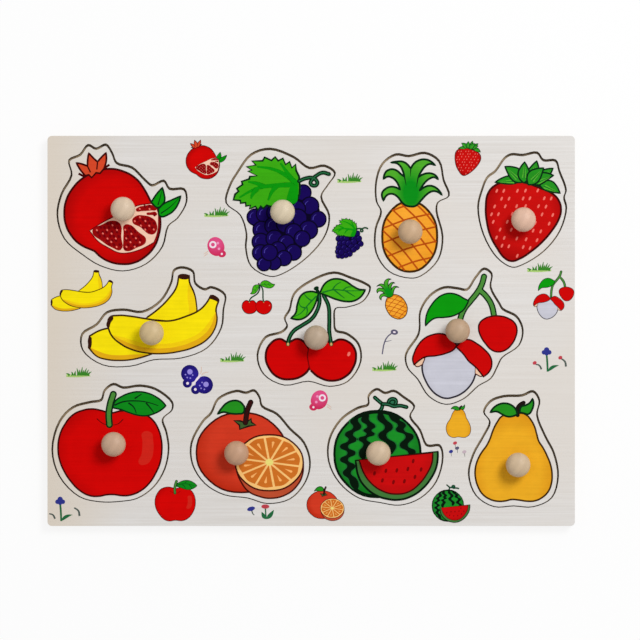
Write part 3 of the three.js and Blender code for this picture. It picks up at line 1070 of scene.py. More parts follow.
class Strawberry(Picture):
    """A leaning strawberry with coral seeds under a star of leaves."""

    knob = (120.3, 63.4)
    body = (
        (99.3, 71), (100.9, 79.2), (105.3, 83.5), (110.7, 85.1), (116, 85.6), (122.5, 84.3), (130.1, 81.6),
        (137.6, 78.1), (140.9, 74.3), (142.1, 69.4), (140.9, 64), (137.1, 57.6), (131.1, 50.6),
        (124.7, 45.2), (118.7, 41.4), (113.9, 40), (110.1, 41.7), (105.8, 47.3), (102, 54.3), (99.9, 62.4),
    )
    seeds = SeedGrid(
        corner=(98.5, 43.4), pitch=(6.0, 4.7), rows=9, places=8, stray=(1.1, 0.9), row_beat=5.3,
        place_beat=2.9, rise_beat=2.3, room=1.6, slope=-0.25)

    def draw(self, press: Press) -> None:
        """Prints the body, its seeds and its leaves.

        Args:
            press: the press that prints it.
        """
        press.up().fill(Ink.STRAWBERRY, self.body, rim=Ink.RED_LINE, width=1.2)
        press.up().dots(Ink.CORAL, self.seeds.within([self.body]), 0.55, 1.15, -24)
        press.up().fill(
            Ink.LEAF_LINE, [(104.5, 85), (112, 86.6), (119, 87), (126, 86.4), (133, 84), (141, 79.4)],
            [(133, 81), (124, 83.6), (114, 85)])
        blades = (
            ((119, 85.6), (104.5, 84.8), 4.6, -0.06), ((128, 84.4), (137.6, 92.8), 6, 0.04),
            ((119.6, 84.6), (110.2, 93.8), 7.2, -0.08), ((124.2, 84), (128.3, 97), 6.8, -0.02),
            ((121, 84.4), (121.4, 96.4), 6.6, 0.02), ((129.6, 83.8), (141.6, 78.6), 6.2, 0.1),
            ((126, 83.4), (137.9, 88.8), 6, 0.12), ((123.4, 83.4), (132.2, 93), 7.4, 0.06),
        )
        for base, tip, width, bow in blades:
            press.up().fill(Ink.LEAF_COOL, *leaf(base, tip, width, bow), rim=Ink.LEAF_LINE, width=0.9)
            near, middle, far = (tuple(Vector(base).lerp(Vector(tip), share)) for share in (0.25, 0.5, 0.8))
            press.up().line(Ink.LEAF_SHEEN, [near, far], width=2.6, tip=0.3)
            press.up().line(Ink.LEAF_VEIN, [near, middle, far], width=0.8, tip=0.4)


class Bananas(Picture):
    """Three bananas, one lying over two."""

    knob = (-90.3, -0.9)

    def draw(self, press: Press) -> None:
        """Prints the rear, the lower and the front banana with their shaded edges and dark tips.

        Args:
            press: the press that prints it.
        """
        press.up().fill(
            Ink.BANANA, [(-94.2, 7.2), (-87, 12.6), (-81, 18.6), (-76.6, 25)], [(-75.2, 31.6)],
            [(-69.3, 31.8), (-69.1, 28), (-66.6, 22), (-65.4, 16.2), (-65.6, 10)], [(-72, 5)],
            rim=Ink.AMBER_LINE, width=1.0)
        press.up().fill(
            Ink.BANANA_SHADE, [(-69.8, 27.4), (-66.9, 21.6), (-65.7, 16.2), (-65.9, 10)],
            [(-70, 7.4), (-69.4, 13), (-70.2, 19)])
        press.up().fill(Ink.BANANA_TIP, oval((-72.3, 31.1), 3.5, 1.6, -3))
        press.up().fill(
            Ink.BANANA, [(-111, 2), (-115.5, 1.7), (-120.6, 0.3)], [(-126, -2.7)],
            [(-126.5, -9.3), (-121.8, -14.1), (-116.4, -15.9), (-109.2, -16.5), (-101.4, -15.9),
             (-94.2, -14.1)], [(-88, -11.8)], [(-100, -6)], rim=Ink.AMBER_LINE, width=1.0)
        press.up().fill(
            Ink.BANANA_EDGE,
            [(-126, -9), (-121.8, -13.7), (-116.4, -15.5), (-109.2, -16.1), (-101.4, -15.5)],
            [(-92, -13), (-101.4, -13.2), (-109.2, -13.6), (-116, -13), (-121.6, -11)])
        press.up().fill(
            Ink.BANANA_TIP, [(-126.2, -2.2)], [(-124.7, -3.8), (-124.8, -8)], [(-125.6, -10.4), (-127, -6)])
        front = (
            [(-115.5, 2.4), (-114.6, 7.8), (-109.8, 9), (-103.8, 8.7), (-94.2, 7.2), (-85.8, 6),
             (-79.2, 6.1), (-71.4, 8.4), (-63.6, 12), (-59.4, 16.2)], [(-57, 20.4)],
            [(-52.5, 17.4), (-54, 12.6), (-53.5, 6.6), (-55.2, 0.6), (-59.4, -4.8), (-66.6, -9),
             (-75, -11.4), (-84, -12.6), (-93, -12.3), (-101.4, -10.5), (-108.6, -6.9), (-113.4, -2.4)],
        )
        press.up().fill(Ink.BANANA, *front, rim=Ink.AMBER_LINE, width=1.0)
        below = [(-54.2, 11), (-53.9, 6.6), (-55.6, 0.6), (-59.7, -4.5), (-66.8, -8.6), (-75, -11),
                 (-84, -12.2), (-93, -11.9), (-101.2, -10.1), (-108.3, -6.5)]
        press.up().fill(
            Ink.BANANA_SHADE, below,
            [(-113, -2), (-106, -3.6), (-99.8, -5.6), (-92.6, -7), (-84.4, -7.2), (-76.4, -6.2),
             (-69, -3.8), (-63, -0.4), (-59, 4)])
        press.up().fill(
            Ink.BANANA_EDGE, below,
            [(-112.6, -2.4), (-106.6, -5.4), (-100.4, -7.8), (-92.8, -9.4), (-84.2, -9.7), (-75.8, -8.6),
             (-67.9, -6.1), (-61.4, -2.3), (-57.2, 2.6)])
        press.up().fill(
            Ink.BANANA_TIP,
            [(-58, 18.5), (-57.5, 20.1), (-56.4, 20.8), (-54.2, 20.1), (-52.4, 18.6), (-52.1, 17.6)],
            [(-52.7, 16.4), (-54.2, 17.3), (-56.2, 18.1)])
        press.fill(
            Ink.BANANA_TIP, [(-112.8, 8.7), (-115, 7.2), (-115.9, 2.2)],
            [(-114.6, 2.2), (-113.9, 4.8), (-112.4, 7.4)])


class Cherries(Picture):
    """Two cherries hanging from one knot, under two leaves."""

    knob = (2.8, -3.8)

    def draw(self, press: Press) -> None:
        """Prints the cherries, their stalks and their leaves.

        Args:
            press: the press that prints it.
        """
        press.up().fill(
            Ink.CHERRY,
            [(-13.2, -6.4), (-8, -4.6), (-3.9, -6.5), (-0.6, -13), (-0.6, -20), (-4.6, -25.2),
             (-12.6, -27.6), (-19, -26.3), (-23.8, -21.5), (-25.9, -14), (-22.9, -7), (-18, -4.6)],
            rim=Ink.RED_LINE, width=1.3)
        outer = [(1, -6.6), (6.4, -4.8), (11.6, -6.6), (16.1, -4.9), (21.5, -6.5), (24.7, -10.3),
                 (25.5, -14.5), (24.1, -20.4), (19.9, -25.7), (11.9, -28.4), (4.2, -26.2), (-0.2, -22.6)]
        inner = [(-1.4, -19), (-1.9, -12)]
        press.up().fill(Ink.CHERRY, outer + inner, rim=Ink.CHERRY_LINE, width=0.7)
        press.up().line(Ink.RED_LINE, outer, width=1.3)
        press.up().dots(Ink.CORAL, ((21.4, -13.2),), 0.8, 1.3, -20)
        stalks = (
            [(4.4, 21.2), (4.7, 16.4), (2.8, 10.5), (0.2, 6.8), (-5.2, 3.1), (-10, -0.1), (-12.6, -4.4),
             (-13.2, -7.6)], [(7.1, 20.1), (9.8, 14.3), (10.3, 7.3), (10.3, -0.7), (11.4, -7.6)],
        )
        for path in stalks:
            press.stalk(Ink.STALK, Ink.LEAF_LINE, path, 0.7, 0.85)
        press.up().dots(Ink.STALK_TIP, [path[-1] for path in stalks], 0.7, 0.9)
        leaves = (
            ([(-11.6, 7.1), (-8.9, 10), (-7.8, 15.3), (-5.2, 20.7), (-0.4, 22.4)],
             [(4.2, 21.5), (2.3, 15.3), (-0.4, 10.5), (-4.1, 7.3), (-7.3, 6.4)]),
            ([(5, 21.5), (7.1, 26), (10.3, 28.7), (14.5, 29.6), (19.3, 28.4), (23.6, 25.5), (27.3, 23.6)],
             [(30.8, 23.3), (28.4, 19.6), (24.7, 17.2), (19.9, 16.7), (14, 18), (9.2, 19.9)]),
        )
        for edges in leaves:
            press.up().fill(Ink.LEAF_FRESH, *edges, rim=Ink.LEAF_LINE, width=1.1)
        veins = (
            [(3, 19.8), (-1.6, 15), (-6, 10), (-9.6, 8)],
            [(6.4, 21.8), (13, 23.4), (20, 22.8), (28.4, 22.8)], [(0.4, 17), (-2.4, 19), (-4, 21)],
            [(-3.4, 13), (-6, 14), (-7, 16)], [(-2.6, 13.8), (-2.2, 11), (-3, 9)],
            [(12, 23.2), (14, 26), (17, 27.8)], [(18, 23), (20.4, 24.8), (23, 25)],
            [(13, 23.4), (16.6, 20.4), (19, 18.6)], [(19.4, 22.9), (22.4, 21), (25, 19.4)],
        )
        for vein in veins:
            press.up().line(Ink.LEAF_VEIN, vein, width=0.9, tip=0.4)
        press.up().line(Ink.LEAF_LINE, [(4.6, 21), (3.2, 23.6)], width=1.8)
        press.up().fill(Ink.LEAF_LINE, oval((2.9, 24.2), 1.5, 1.1, 20))


class Lychee(Picture):
    """A lychee peeled to its white flesh, beside a small whole one."""

    knob = (83.0, 0.2)

    def draw(self, press: Press) -> None:
        """Prints the twig, the leaf, the small fruit, the flesh and the peel.

        Args:
            press: the press that prints it.
        """
        twigs = (
            [(98.3, 31), (97, 26.5), (94.5, 22), (90.5, 17), (87, 12.5), (84.6, 6), (83.6, -5)],
            [(96.3, 23), (99.5, 19.8), (102.5, 15), (104.2, 7.6)],
        )
        for ink, width in ((Ink.LEAF_LINE, 3.6), (Ink.STEM, 2.0)):
            for twig in twigs:
                press.up().line(ink, twig, width=width)
                press.up().dots(ink, (twig[0], twig[-1]), width / 2, width / 2)
        press.up().fill(
            Ink.LEAF,
            [(65, 3), (65.1, 6.5), (66, 10.5), (68.5, 15), (71.5, 18.5), (75, 20.7), (79, 21.5),
             (83.5, 20.5), (87, 18.5)],
            [(89.5, 17.3), (88.2, 14.5), (86.5, 12), (84, 10.2), (80, 8.5), (75.5, 7.8), (70.5, 7.4),
             (67.5, 5.6)], rim=Ink.LEAF_LINE, width=0.9)
        press.up().fill(
            Ink.LYCHEE,
            [(95.2, 1.5), (95.8, 4.5), (98.5, 7), (102.5, 8.4), (107, 8.6), (112, 7.3), (115.8, 4.5),
             (117, 1), (116.2, -3.5), (113.8, -7.8), (110.2, -10.9), (106, -11.8), (102.5, -10.6),
             (99.3, -7.3), (96.5, -3)], rim=Ink.RED_LINE, width=0.9)
        press.up().fill(
            Ink.LYCHEE_FLESH,
            [(64.5, -15), (63.2, -19), (63.3, -23), (65, -28), (68, -33), (72, -36.6), (76.5, -38.2),
             (81, -37.5), (85.5, -35.5), (90, -31.5), (92.8, -26.5), (93.7, -20)], [(88.5, -14), (83, -7)],
            rim=Ink.LYCHEE_LINE, width=1.0)
        press.up().fill(
            Ink.PEEL_INSIDE, [(58.6, -18.6), (64, -14.6)], [(63.3, -19), (60, -20.2)],
            rim=Ink.RED_LINE, width=0.6)
        press.fill(
            Ink.PEEL_INSIDE, [(93.3, -19.6), (97.4, -25.4)], [(93.2, -24.2)], rim=Ink.RED_LINE, width=0.6)
        press.up().fill(
            Ink.LYCHEE,
            [(58.5, -19.2), (57.7, -16), (58.6, -12.5), (60.5, -8.5), (64, -4.5), (68.5, -2.2), (74, -1.5),
             (77, -2.5), (80, -5)],
            [(82.8, -8), (81, -10.5), (77, -12.5), (71, -14), (64.5, -14.8), (61, -17)],
            rim=Ink.RED_LINE, width=0.9)
        press.up().fill(
            Ink.LYCHEE,
            [(82.4, -9), (85.5, -6), (89, -4.8), (94, -7), (98.5, -10.5), (101.8, -14.5), (102.7, -19),
             (101.3, -23)], [(98, -26), (96.5, -24), (94.5, -21.5), (93, -20), (89.5, -17), (86.5, -13)],
            rim=Ink.RED_LINE, width=0.9)


class Apple(Picture):
    """A wide red apple with a stem and a veined leaf."""

    knob = (-112.0, -64.3)

    def draw(self, press: Press) -> None:
        """Prints the body with its light patch, the stem and the leaf.

        Args:
            press: the press that prints it.
        """
        press.up().fill(
            Ink.APPLE,
            [(-144, -68), (-143.2, -60), (-140, -53), (-135.5, -47.8), (-130, -45.3), (-124.5, -44.5),
             (-119, -45.5), (-114.5, -46.8), (-107.5, -45.5), (-100, -46.4), (-94, -48), (-90, -51),
             (-87, -56), (-85.3, -62), (-85, -68), (-86, -75), (-88.5, -81), (-92, -86.5), (-97, -91),
             (-103, -93.5), (-107.5, -93.8), (-112, -93.2), (-116.5, -93.3), (-120.5, -94.1), (-126, -93.8),
             (-131.5, -91), (-136.5, -86), (-140.5, -80), (-143, -74)], rim=Ink.RED_LINE, width=1.0)
        press.up().fill(
            Ink.APPLE_GLINT,
            [(-96, -58), (-91, -58), (-90, -62), (-89.8, -68), (-91, -73), (-94, -76), (-98, -75.5),
             (-96.5, -70), (-96, -63)])
        press.up().line(Ink.RED_LINE, [(-122, -50), (-118.5, -52.8), (-115, -53.8)], width=0.5, tip=0.5)
        press.line(Ink.RED_LINE, [(-107, -50.4), (-110, -53), (-113.6, -53.8)], width=0.5, tip=0.5)
        stem = [(-112.6, -36.2), (-114.4, -42), (-115.2, -48), (-114.8, -53.4)]
        press.stalk(Ink.STEM, Ink.LEAF_LINE, stem, 2.3, 0.9)
        press.up().fill(
            Ink.LEAF_DARK,
            [(-113, -43.8), (-111.5, -40), (-107.5, -37.2), (-103, -35.4), (-98.5, -34.7), (-93, -35.5),
             (-88, -37.8), (-84.5, -40.5)],
            [(-82.7, -42.7), (-85, -44.8), (-89, -47), (-94, -48.4), (-99, -48), (-104, -46.5),
             (-108.5, -44.8)], rim=Ink.LEAF_LINE, width=0.9)
        veins = (
            [(-112, -42.4), (-107, -40.4), (-100, -39.9), (-94, -40.5), (-87, -42.6)],
            [(-100.5, -38.6), (-96.5, -36)], [(-104, -41), (-101, -43.5), (-99.5, -47)],
            [(-94, -41), (-91.5, -44), (-89.5, -46.6)],
        )
        for vein in veins:
            press.up().line(Ink.LEAF_LINE, vein, width=0.9, tip=0.5)


class Orange(Picture):
    """A round orange behind a cut half that shows its segments."""

    knob = (-42.3, -69.2)
    segments = 10
    heart = (-23.8, -74.8)
    reach = (19.3, 15.9)
    first_turn = 0.25
    corner_drop = 0.03

    def draw(self, press: Press) -> None:
        """Prints the whole orange, its leaf and stem, and the cut half.

        Args:
            press: the press that prints it.
        """
        press.up().fill(Ink.ORANGE, oval((-39.6, -69.2), 25.7, 22.7), rim=Ink.ORANGE_LINE, width=1.0)
        press.up().fill(
            Ink.LEAF_COOL, [(-53.3, -47.3), (-51, -44), (-48, -41), (-44, -39.6), (-40.5, -40.3)],
            [(-38, -43), (-38.5, -46.5), (-41.5, -47.2), (-46, -47), (-50, -46.2)],
            rim=Ink.LEAF_LINE, width=1.1)
        press.up().fill(
            Ink.CALYX, [(-44, -51)], [(-40.4, -51.2)], [(-37, -52.4)], [(-34.2, -49.8)], [(-34, -52)],
            [(-31.4, -53.6)], [(-35.6, -54.2)], [(-40.6, -56)], [(-40.8, -53.6)],
            rim=Ink.TWIG_DARK, width=1.0)
        press.stalk(Ink.TWIG, Ink.TWIG_DARK, [(-34.4, -40.6), (-36.2, -45), (-37.4, -52.2)], 1.9, 0.6)
        press.up().fill(
            Ink.ORANGE_RIM,
            [(-43.1, -75), (-42, -81), (-40, -85.6), (-36, -91), (-30, -94), (-23, -95.2), (-14, -93),
             (-8, -88), (-5, -82)], [(-4.4, -75)], rim=Ink.ORANGE_LINE, width=0.9)
        press.up().fill(Ink.SLICE, oval((-23.8, -75), *self.reach), rim=Ink.ORANGE_LINE, width=0.9)
        for ink, near, far, half in ((Ink.SEGMENT, 0.1, 0.91, 0.44), (Ink.SLICE_GLINT, 0.5, 0.76, 0.09)):
            press.up()
            for index in range(self.segments):
                press.fill(ink, *self._segment(index, near, far, half))
        press.up().fill(Ink.SLICE_HEART, oval((-23.8, -74.7), 2.2, 1.9))

    def _segment(self, index: int, near: float, far: float, half: float) -> list[Run]:
        """Gives one wedge of the cut face.

        Args:
            index: which wedge, counted round the middle.
            near: where it starts, as a share of the way from the middle to the rim.
            far: where it ends.
            half: half its angle, as a share of the angle between two wedges.

        Returns:
            The wedge's outline.
        """
        def spot(share: float, side: float) -> Point:
            """Gives a point of the cut face.

            Args:
                share: how far out it lies, from 0 in the middle to 1 at the rim.
                side: how far round it lies from the wedge's middle line, counted in wedges.

            Returns:
                The point.
            """
            angle = math.tau * (index + self.first_turn + side) / self.segments
            x = self.heart[0] + share * self.reach[0] * math.cos(angle)
            y = self.heart[1] + share * self.reach[1] * math.sin(angle)
            return x, y

        corner = far - self.corner_drop
        return [[spot(near, 0.0)], [spot(corner, half), spot(far, 0.0)], [spot(corner, -half)]]


class Watermelon(Picture):
    """A striped watermelon behind a half-round slice."""

    knob = (38.1, -69.2)
    stripe_end = 0.4

    def draw(self, press: Press) -> None:
        """Prints the whole melon with its stripes, its twig, and the slice with its seeds.

        Args:
            press: the press that prints it.
        """
        twigs = (
            [(44, -41.8), (44.2, -39.8), (46.2, -38.6), (48.2, -39.6), (47.6, -42.4)],
            [(36.2, -37.9), (38.4, -39.8), (40.4, -41.5)], [(40.6, -41.6), (40, -44.2), (37.6, -46.6)],
            [(40.6, -41.5), (44, -41.8), (46.8, -42.8), (50.6, -42.5), (54.2, -43.3)],
        )
        press.up().fill(Ink.MELON_TWIG, twigs[0])
        for twig in twigs:
            press.stalk(Ink.MELON_TWIG, Ink.LEAF_LINE, twig, 0.6, 0.85)
        press.up().fill(Ink.MELON, oval((37.7, -70), 24.5, 24.5), rim=Ink.MELON_STRIPE, width=1.3)
        stripes = (
            [(25.4, -49.2), (24.4, -51.2), (26.2, -54.8), (21.4, -58.8), (23.6, -61.8), (18.6, -65.8),
             (23, -69.4), (18.6, -73.2), (22.8, -76.8), (20.2, -80.8), (23.6, -84.2), (24.8, -87.8),
             (25.6, -90)],
            [(31.6, -47.2), (30.6, -50.6), (34.2, -54.4), (32, -56.6), (33.8, -58.6), (29.2, -61.4),
             (32, -64.4), (29.4, -69), (29.8, -72.8)],
            [(39, -46.4), (40, -50), (44.2, -54.8), (40.4, -59.4), (46, -65), (45.2, -70)],
            [(44.6, -47.2), (47.8, -50.6), (51.6, -53.6), (50.4, -56.2), (56, -59.8), (52.6, -65.2),
             (57.2, -68.6), (57, -71)],
        )
        for ink, half in ((Ink.MELON_FRINGE, 3.1), (Ink.MELON_STRIPE, 2.3)):
            press.up()
            for path in stripes:
                press.fill(ink, *self._stripe(path, half))
        press.up().line(Ink.MELON_STRIPE, [(24.6, -89.6), (30, -92.8), (36.6, -94)], width=1.8)
        press.line(
            Ink.MELON_STRIPE, [(24.8, -49.8), (31, -47), (37.7, -46), (44.4, -47), (50.6, -49.8)], width=2)
        press.up().fill(
            Ink.RIND, [(25.2, -73.7)],
            [(72, -68.6), (72, -72), (71, -78), (68, -84), (63.5, -89.5), (57, -94), (50, -96), (43, -95.5),
             (37, -93.5), (31, -89), (27, -83)], rim=Ink.MELON_STRIPE, width=1.2)
        press.up().fill(
            Ink.MELON_FLESH, [(27.2, -73.3)],
            [(69.2, -69.3), (68.7, -75), (66, -81), (61.5, -87), (55.5, -91.5), (48, -92.8), (41, -91.3),
             (34.5, -87), (30, -81)], rim=Ink.RED_LINE, width=0.9)
        seeds = ((36, -81), (42.5, -79.5), (48.7, -79.3), (55, -78.5), (62.5, -78.8), (58, -74),
                 (40.5, -85), (46.8, -86), (53, -85.5), (59, -83))
        press.up().dots(Ink.MELON_SEED, seeds, 0.75, 1.3, -15)

    def _stripe(self, path: Run, half: float) -> list[Run]:
        """Draws the outline of a wavy stripe that runs thin at both ends.

        Args:
            path: the points down its middle.
            half: half its width.

        Returns:
            Its left and its right edge, as the runs of an outline.
        """
        ends = (path[0], path[-1])
        halves = [half * (self.stripe_end if point in ends else 1.0) for point in path]
        left = [(x - reach, y) for (x, y), reach in zip(path, halves)]
        right = [(x + reach, y) for (x, y), reach in zip(path, halves)]
        return [left, right[::-1]]


class Pear(Picture):
    """A yellow pear with two leaves."""

    knob = (117.2, -76.0)

    def draw(self, press: Press) -> None:
        """Prints the body, the stem and the leaves.

        Args:
            press: the press that prints it.
        """
        press.up().fill(
            Ink.PEAR,
            [(108.8, -48.5), (105.8, -52), (103.5, -56.5), (101.5, -62), (99.8, -65.3), (96.8, -69.5),
             (94.5, -74), (93.3, -79), (93.5, -84), (95, -89), (97.5, -93), (101.5, -95.8), (106, -97),
             (110.5, -96.8), (114, -96), (118, -96.3), (123, -97), (127.5, -96.7), (131.5, -94.8),
             (134.8, -91.5), (136.6, -87), (137, -81.5), (136.2, -76.5), (134.3, -71.5), (131.8, -66.5),
             (129.5, -63), (128.3, -59), (127, -54.5), (124.8, -50.5), (122.5, -48), (119.5, -46.9),
             (116.5, -47.5), (113, -48.2)], rim=Ink.AMBER_LINE, width=1.0)
        stem = [(117.4, -48), (117.3, -44.4), (118.8, -42.2), (120.8, -41)]
        press.stalk(Ink.TWIG_DARK, Ink.TWIG_DARK, stem, 1.4, 0.5)
        press.up().fill(
            Ink.LEAF_COOL,
            [(101.8, -46.5), (104, -43.6), (107, -41.8), (110.5, -41.3), (114, -42.4), (116.5, -45)],
            [(117.2, -47.6), (114.5, -48.7), (111.5, -48.8), (108.5, -47.5), (105.5, -46)],
            rim=Ink.LEAF_LINE, width=1.1)
        press.fill(
            Ink.LEAF_COOL, [(118.5, -46.4), (119.5, -43.2), (122, -42.4), (124.5, -40.8)],
            [(125.9, -38.6), (126.5, -41), (125.8, -44.5), (123.5, -47.5), (121, -47)],
            rim=Ink.LEAF_LINE, width=1.1)


class GrassTuft(Picture):
    """A few blades of grass and their shadow on the ground."""

    def draw(self, press: Press) -> None:
        """Prints the shadow and the blades.

        Args:
            press: the press that prints it.
        """
        press.up().line(Ink.GRASS_SHADOW, [(-7.2, -2), (-1, -2.4), (6.4, -2)], width=1.6, tip=0.5)
        blades = ((-5.4, -7.4, -0.8), (-3.6, -4.2, 0.2), (-2.4, -1.9, 0.6), (-0.4, -1.2, 2.2),
                  (0.4, 0.4, 1.4), (1.4, 2, 2.9), (2.4, 2.8, 1.2), (3.2, 4.4, 2.2), (4.2, 5.6, 1.4),
                  (5, 7.2, 0.2))
        for foot, tip, height in blades:
            middle = ((2 * foot + tip) / 3, height / 2 - 0.8)
            press.up().line(Ink.GRASS, [(foot, -2), middle, (tip, height)], width=1.5, tip=0.15)


class Posy(Picture):
    """A blue flower on an upright stalk, between two hanging ones."""

    def __init__(self, side_bloom: Ink | None) -> None:
        """Takes the ink of the hanging flowers, if they show."""
        self.side_bloom = side_bloom

    def draw(self, press: Press) -> None:
        """Prints the stalks, the leaf and the flowers.

        Args:
            press: the press that prints it.
        """
        press.up().line(Ink.STALK, [(0, 0), (-0.2, 5), (-0.6, 10)], width=1.1)
        press.up().fill(Ink.STALK, *leaf((0, 0), (6.6, 3.6), 1.9, 0.12))
        press.line(Ink.STALK_GREY, [(-3.5, 1.3), (-4.8, 3.6), (-6.9, 4.2)], width=1.1, tip=0.6)
        press.line(Ink.STALK_GREY, [(10.4, 2.9), (9.8, 5.8), (7.4, 7.6)], width=1.2, tip=0.7)
        for x, y, radius in ((-2.1, 11, 1.3), (0.9, 11, 1.3), (-0.6, 12.4, 1.5), (-0.6, 10.4, 1.2)):
            press.up().fill(Ink.PETAL_BLUE, oval((x, y), radius, radius))
        if self.side_bloom:
            press.up().dots(self.side_bloom, ((-7.4, 5), (7.2, 8)), 1.2, 1.0, 30)


class FlowerPair(Picture):
    """A nodding blue flower beside a red one with two leaves."""

    def draw(self, press: Press) -> None:
        """Prints both flowers.

        Args:
            press: the press that prints it.
        """
        press.up().line(Ink.STALK_GREY, [(-5.8, 0.8), (-5.4, -0.6), (-4.4, -1.8)], width=0.8, tip=0.6)
        press.line(Ink.STALK, [(1.9, 2.6), (2.3, -3.6)], width=0.8)
        press.up().fill(Ink.PETAL_BLUE, oval((-6.2, 1.8), 2.3, 1.2, 15))
        press.fill(Ink.PETAL_RED, oval((1.9, 3.1), 2.3, 1.2))
        press.up().fill(Ink.STALK, *leaf((2.3, -4.1), (-0.2, 0.2), 2.2, 0.05))
        press.up().fill(Ink.STALK, *leaf((2.3, -4.1), (6.8, 1.3), 2.4, -0.06))


class Sprig(Picture):
    """A bowed grey stalk with an open flower."""

    def draw(self, press: Press) -> None:
        """Prints the stalk, its side shoot and the flower.

        Args:
            press: the press that prints it.
        """
        press.up().line(Ink.PETAL_GREY, [(-4.4, -7), (-3.1, -0.2), (-1.3, 3.1), (0.9, 4.9)], width=0.7)
        press.up().line(Ink.PETAL_GREY, [(-2.8, 0.2), (-1, 0.5), (0.9, 0.9)], width=0.5, tip=0.5)
        press.up().fill(Ink.PETAL_GREY, oval((2.5, 5.6), 2.1, 1.5, -10))
        press.up().fill(Ink.WING_PALE, oval((2.5, 5.6), 0.8, 0.5, -10))


class TinyFlowers(Picture):
    """Four tiny flowers on short stalks."""

    def draw(self, press: Press) -> None:
        """Prints the stalks and the flowers.

        Args:
            press: the press that prints it.
        """
        blooms = ((-3.4, -2.2, Ink.PETAL_BLUE), (-1.1, 2.6, Ink.PETAL_RED), (0.1, -0.3, Ink.PETAL_GREY),
                  (4.2, -2.4, Ink.PETAL_PALE))
        for x, y, ink in blooms:
            press.up().line(Ink.STALK_GREY, [(x, y), (x + 0.3, y - 2.8)], width=0.4, tip=0.5)
            press.up().fill(ink, oval((x, y), 1.2, 0.9, 20))


class FoldedButterfly(Picture):
    """A pink butterfly with its wings shut, seen from the side."""

    def __init__(self, side: int) -> None:
        """Takes 1 for its tail on the right and -1 for its tail on the left."""
        self.side = side

    def draw(self, press: Press) -> None:
        """Prints the wings, their spots and the feelers.

        Args:
            press: the press that prints it.
        """
        side = self.side
        press.up().fill(Ink.WING_PINK, oval((side * 3.1, -3.8), 2.2, 1.9))
        press.up().fill(Ink.WING_PINK, oval((0, 0), 4.4, 5.1, side * 20))
        press.up().fill(Ink.WING_PALE, oval((side * -1.6, 1), 1.9, 1.9))
        press.dots(Ink.WING_PINK_SPOT, ((side * 1, 1.8), (side * 1.6, -1.2)), 0.7, 0.7)
        press.dots(Ink.WING_PALE, ((side * 3.1, -3.9),), 0.6, 0.6)
        press.up().fill(Ink.WING_PINK, oval((side * -1.6, 1), 1.0, 1.0))
        for foot in (-2.4, -3.6):
            press.line(Ink.FEELER, [(side * -4.2, foot), (side * -6.4, foot - 1.6)], width=0.5, tip=0.6)


class OpenButterfly(Picture):
    """A blue butterfly with its wings spread."""

    def draw(self, press: Press) -> None:
        """Prints the wings, their spots, the body and the feelers.

        Args:
            press: the press that prints it.
        """
        for side in (-1, 1):
            press.up().fill(Ink.WING_BLUE, oval((side * 3, -4.9), 2.6, 2.6))
            press.up().fill(Ink.WING_BLUE, oval((side * 5.2, 0.2), 5, 5, side * 20))
            press.up().fill(Ink.WING_BLUE_SPOT, oval((side * 5.8, 1.1), 1.5, 1.5))
            small = ((side * 3.4, -1.6), (side * 5, -2.4), (side * 6.8, -1.7), (side * 3.4, 0.6))
            press.dots(Ink.WING_BLUE_SPOT, small, 0.45, 0.45)
            press.dots(Ink.WING_PALE, ((side * 2.8, -4.9),), 0.8, 0.8)
            press.line(
                Ink.FEELER, [(side * 0.5, 4), (side * 1.2, 6), (side * 2.6, 7.4)], width=0.5, tip=0.6)
        press.up().line(Ink.WING_PALE, [(0, 3.6), (0, -3.6)], width=1.4, tip=0.7)


@dataclass(frozen=True)
class SmallPrint:
    """A small picture on the board: where its knob's point goes in millimetres, its scale and its turn."""

    picture: Picture
    spot: Point
    scale: float = 1.0
    turn: float = 0.0


@dataclass
class Scatter:
    """The small pictures printed between the fruit pieces."""

    name: str = "scattered_prints"
    steps: int = 3

    def prints(self) -> list[SmallPrint]:
        """Lists the small pictures.

        Returns:
            Small fruits, then grass, flowers and butterflies.
        """
        fruits = [
            SmallPrint(Pomegranate(), (-59.4, 97.3), 0.35), SmallPrint(Strawberry(), (89.0, 96.4), 0.345),
            SmallPrint(Grapes(), (21.3, 52.3), 0.36, -11), SmallPrint(Bananas(), (-130.8, 18.7), 0.475),
            SmallPrint(Cherries(), (-29.9, 17.6), 0.33), SmallPrint(Pineapple(), (48.0, 14.6), 0.37, 30),
            SmallPrint(Lychee(), (136.2, 21.7), 0.39), SmallPrint(Apple(), (-76.4, -96.5), 0.39),
            SmallPrint(Orange(), (5.5, -98.9), 0.35), SmallPrint(Watermelon(), (77.9, -99.1), 0.365),
            SmallPrint(Pear(), (84.4, -53.9), 0.32),
        ]
        tufts = ((-53.6, 67.7), (22.1, 87.1), (-132.1, -23.4), (-44.5, -14.9), (42.0, -20.0), (130.1, 36.4))
        return fruits + [SmallPrint(GrassTuft(), spot) for spot in tufts] + [
            SmallPrint(Sprig(), (44.8, -6.3)), SmallPrint(TinyFlowers(), (82.9, -66.4)),
            SmallPrint(Posy(Ink.PETAL_RED), (134.5, -23.2)), SmallPrint(Posy(None), (-142.2, -108.2)),
            SmallPrint(FlowerPair(), (-28.0, -103.0)), SmallPrint(FoldedButterfly(1), (-54.2, 48.0), 1.08),
            SmallPrint(FoldedButterfly(-1), (4.6, -39.2), 1.08),
            SmallPrint(OpenButterfly(), (-65.1, -27.7), 1.0, -38),
        ]

    def build(self) -> None:
        """Prints them all on the face panel."""
        press = Press(self.name, steps=self.steps)
        for small in self.prints():
            press.place(small.picture.knob, small.spot, small.scale, small.turn)
            small.picture.draw(press)
        press.lift("board")


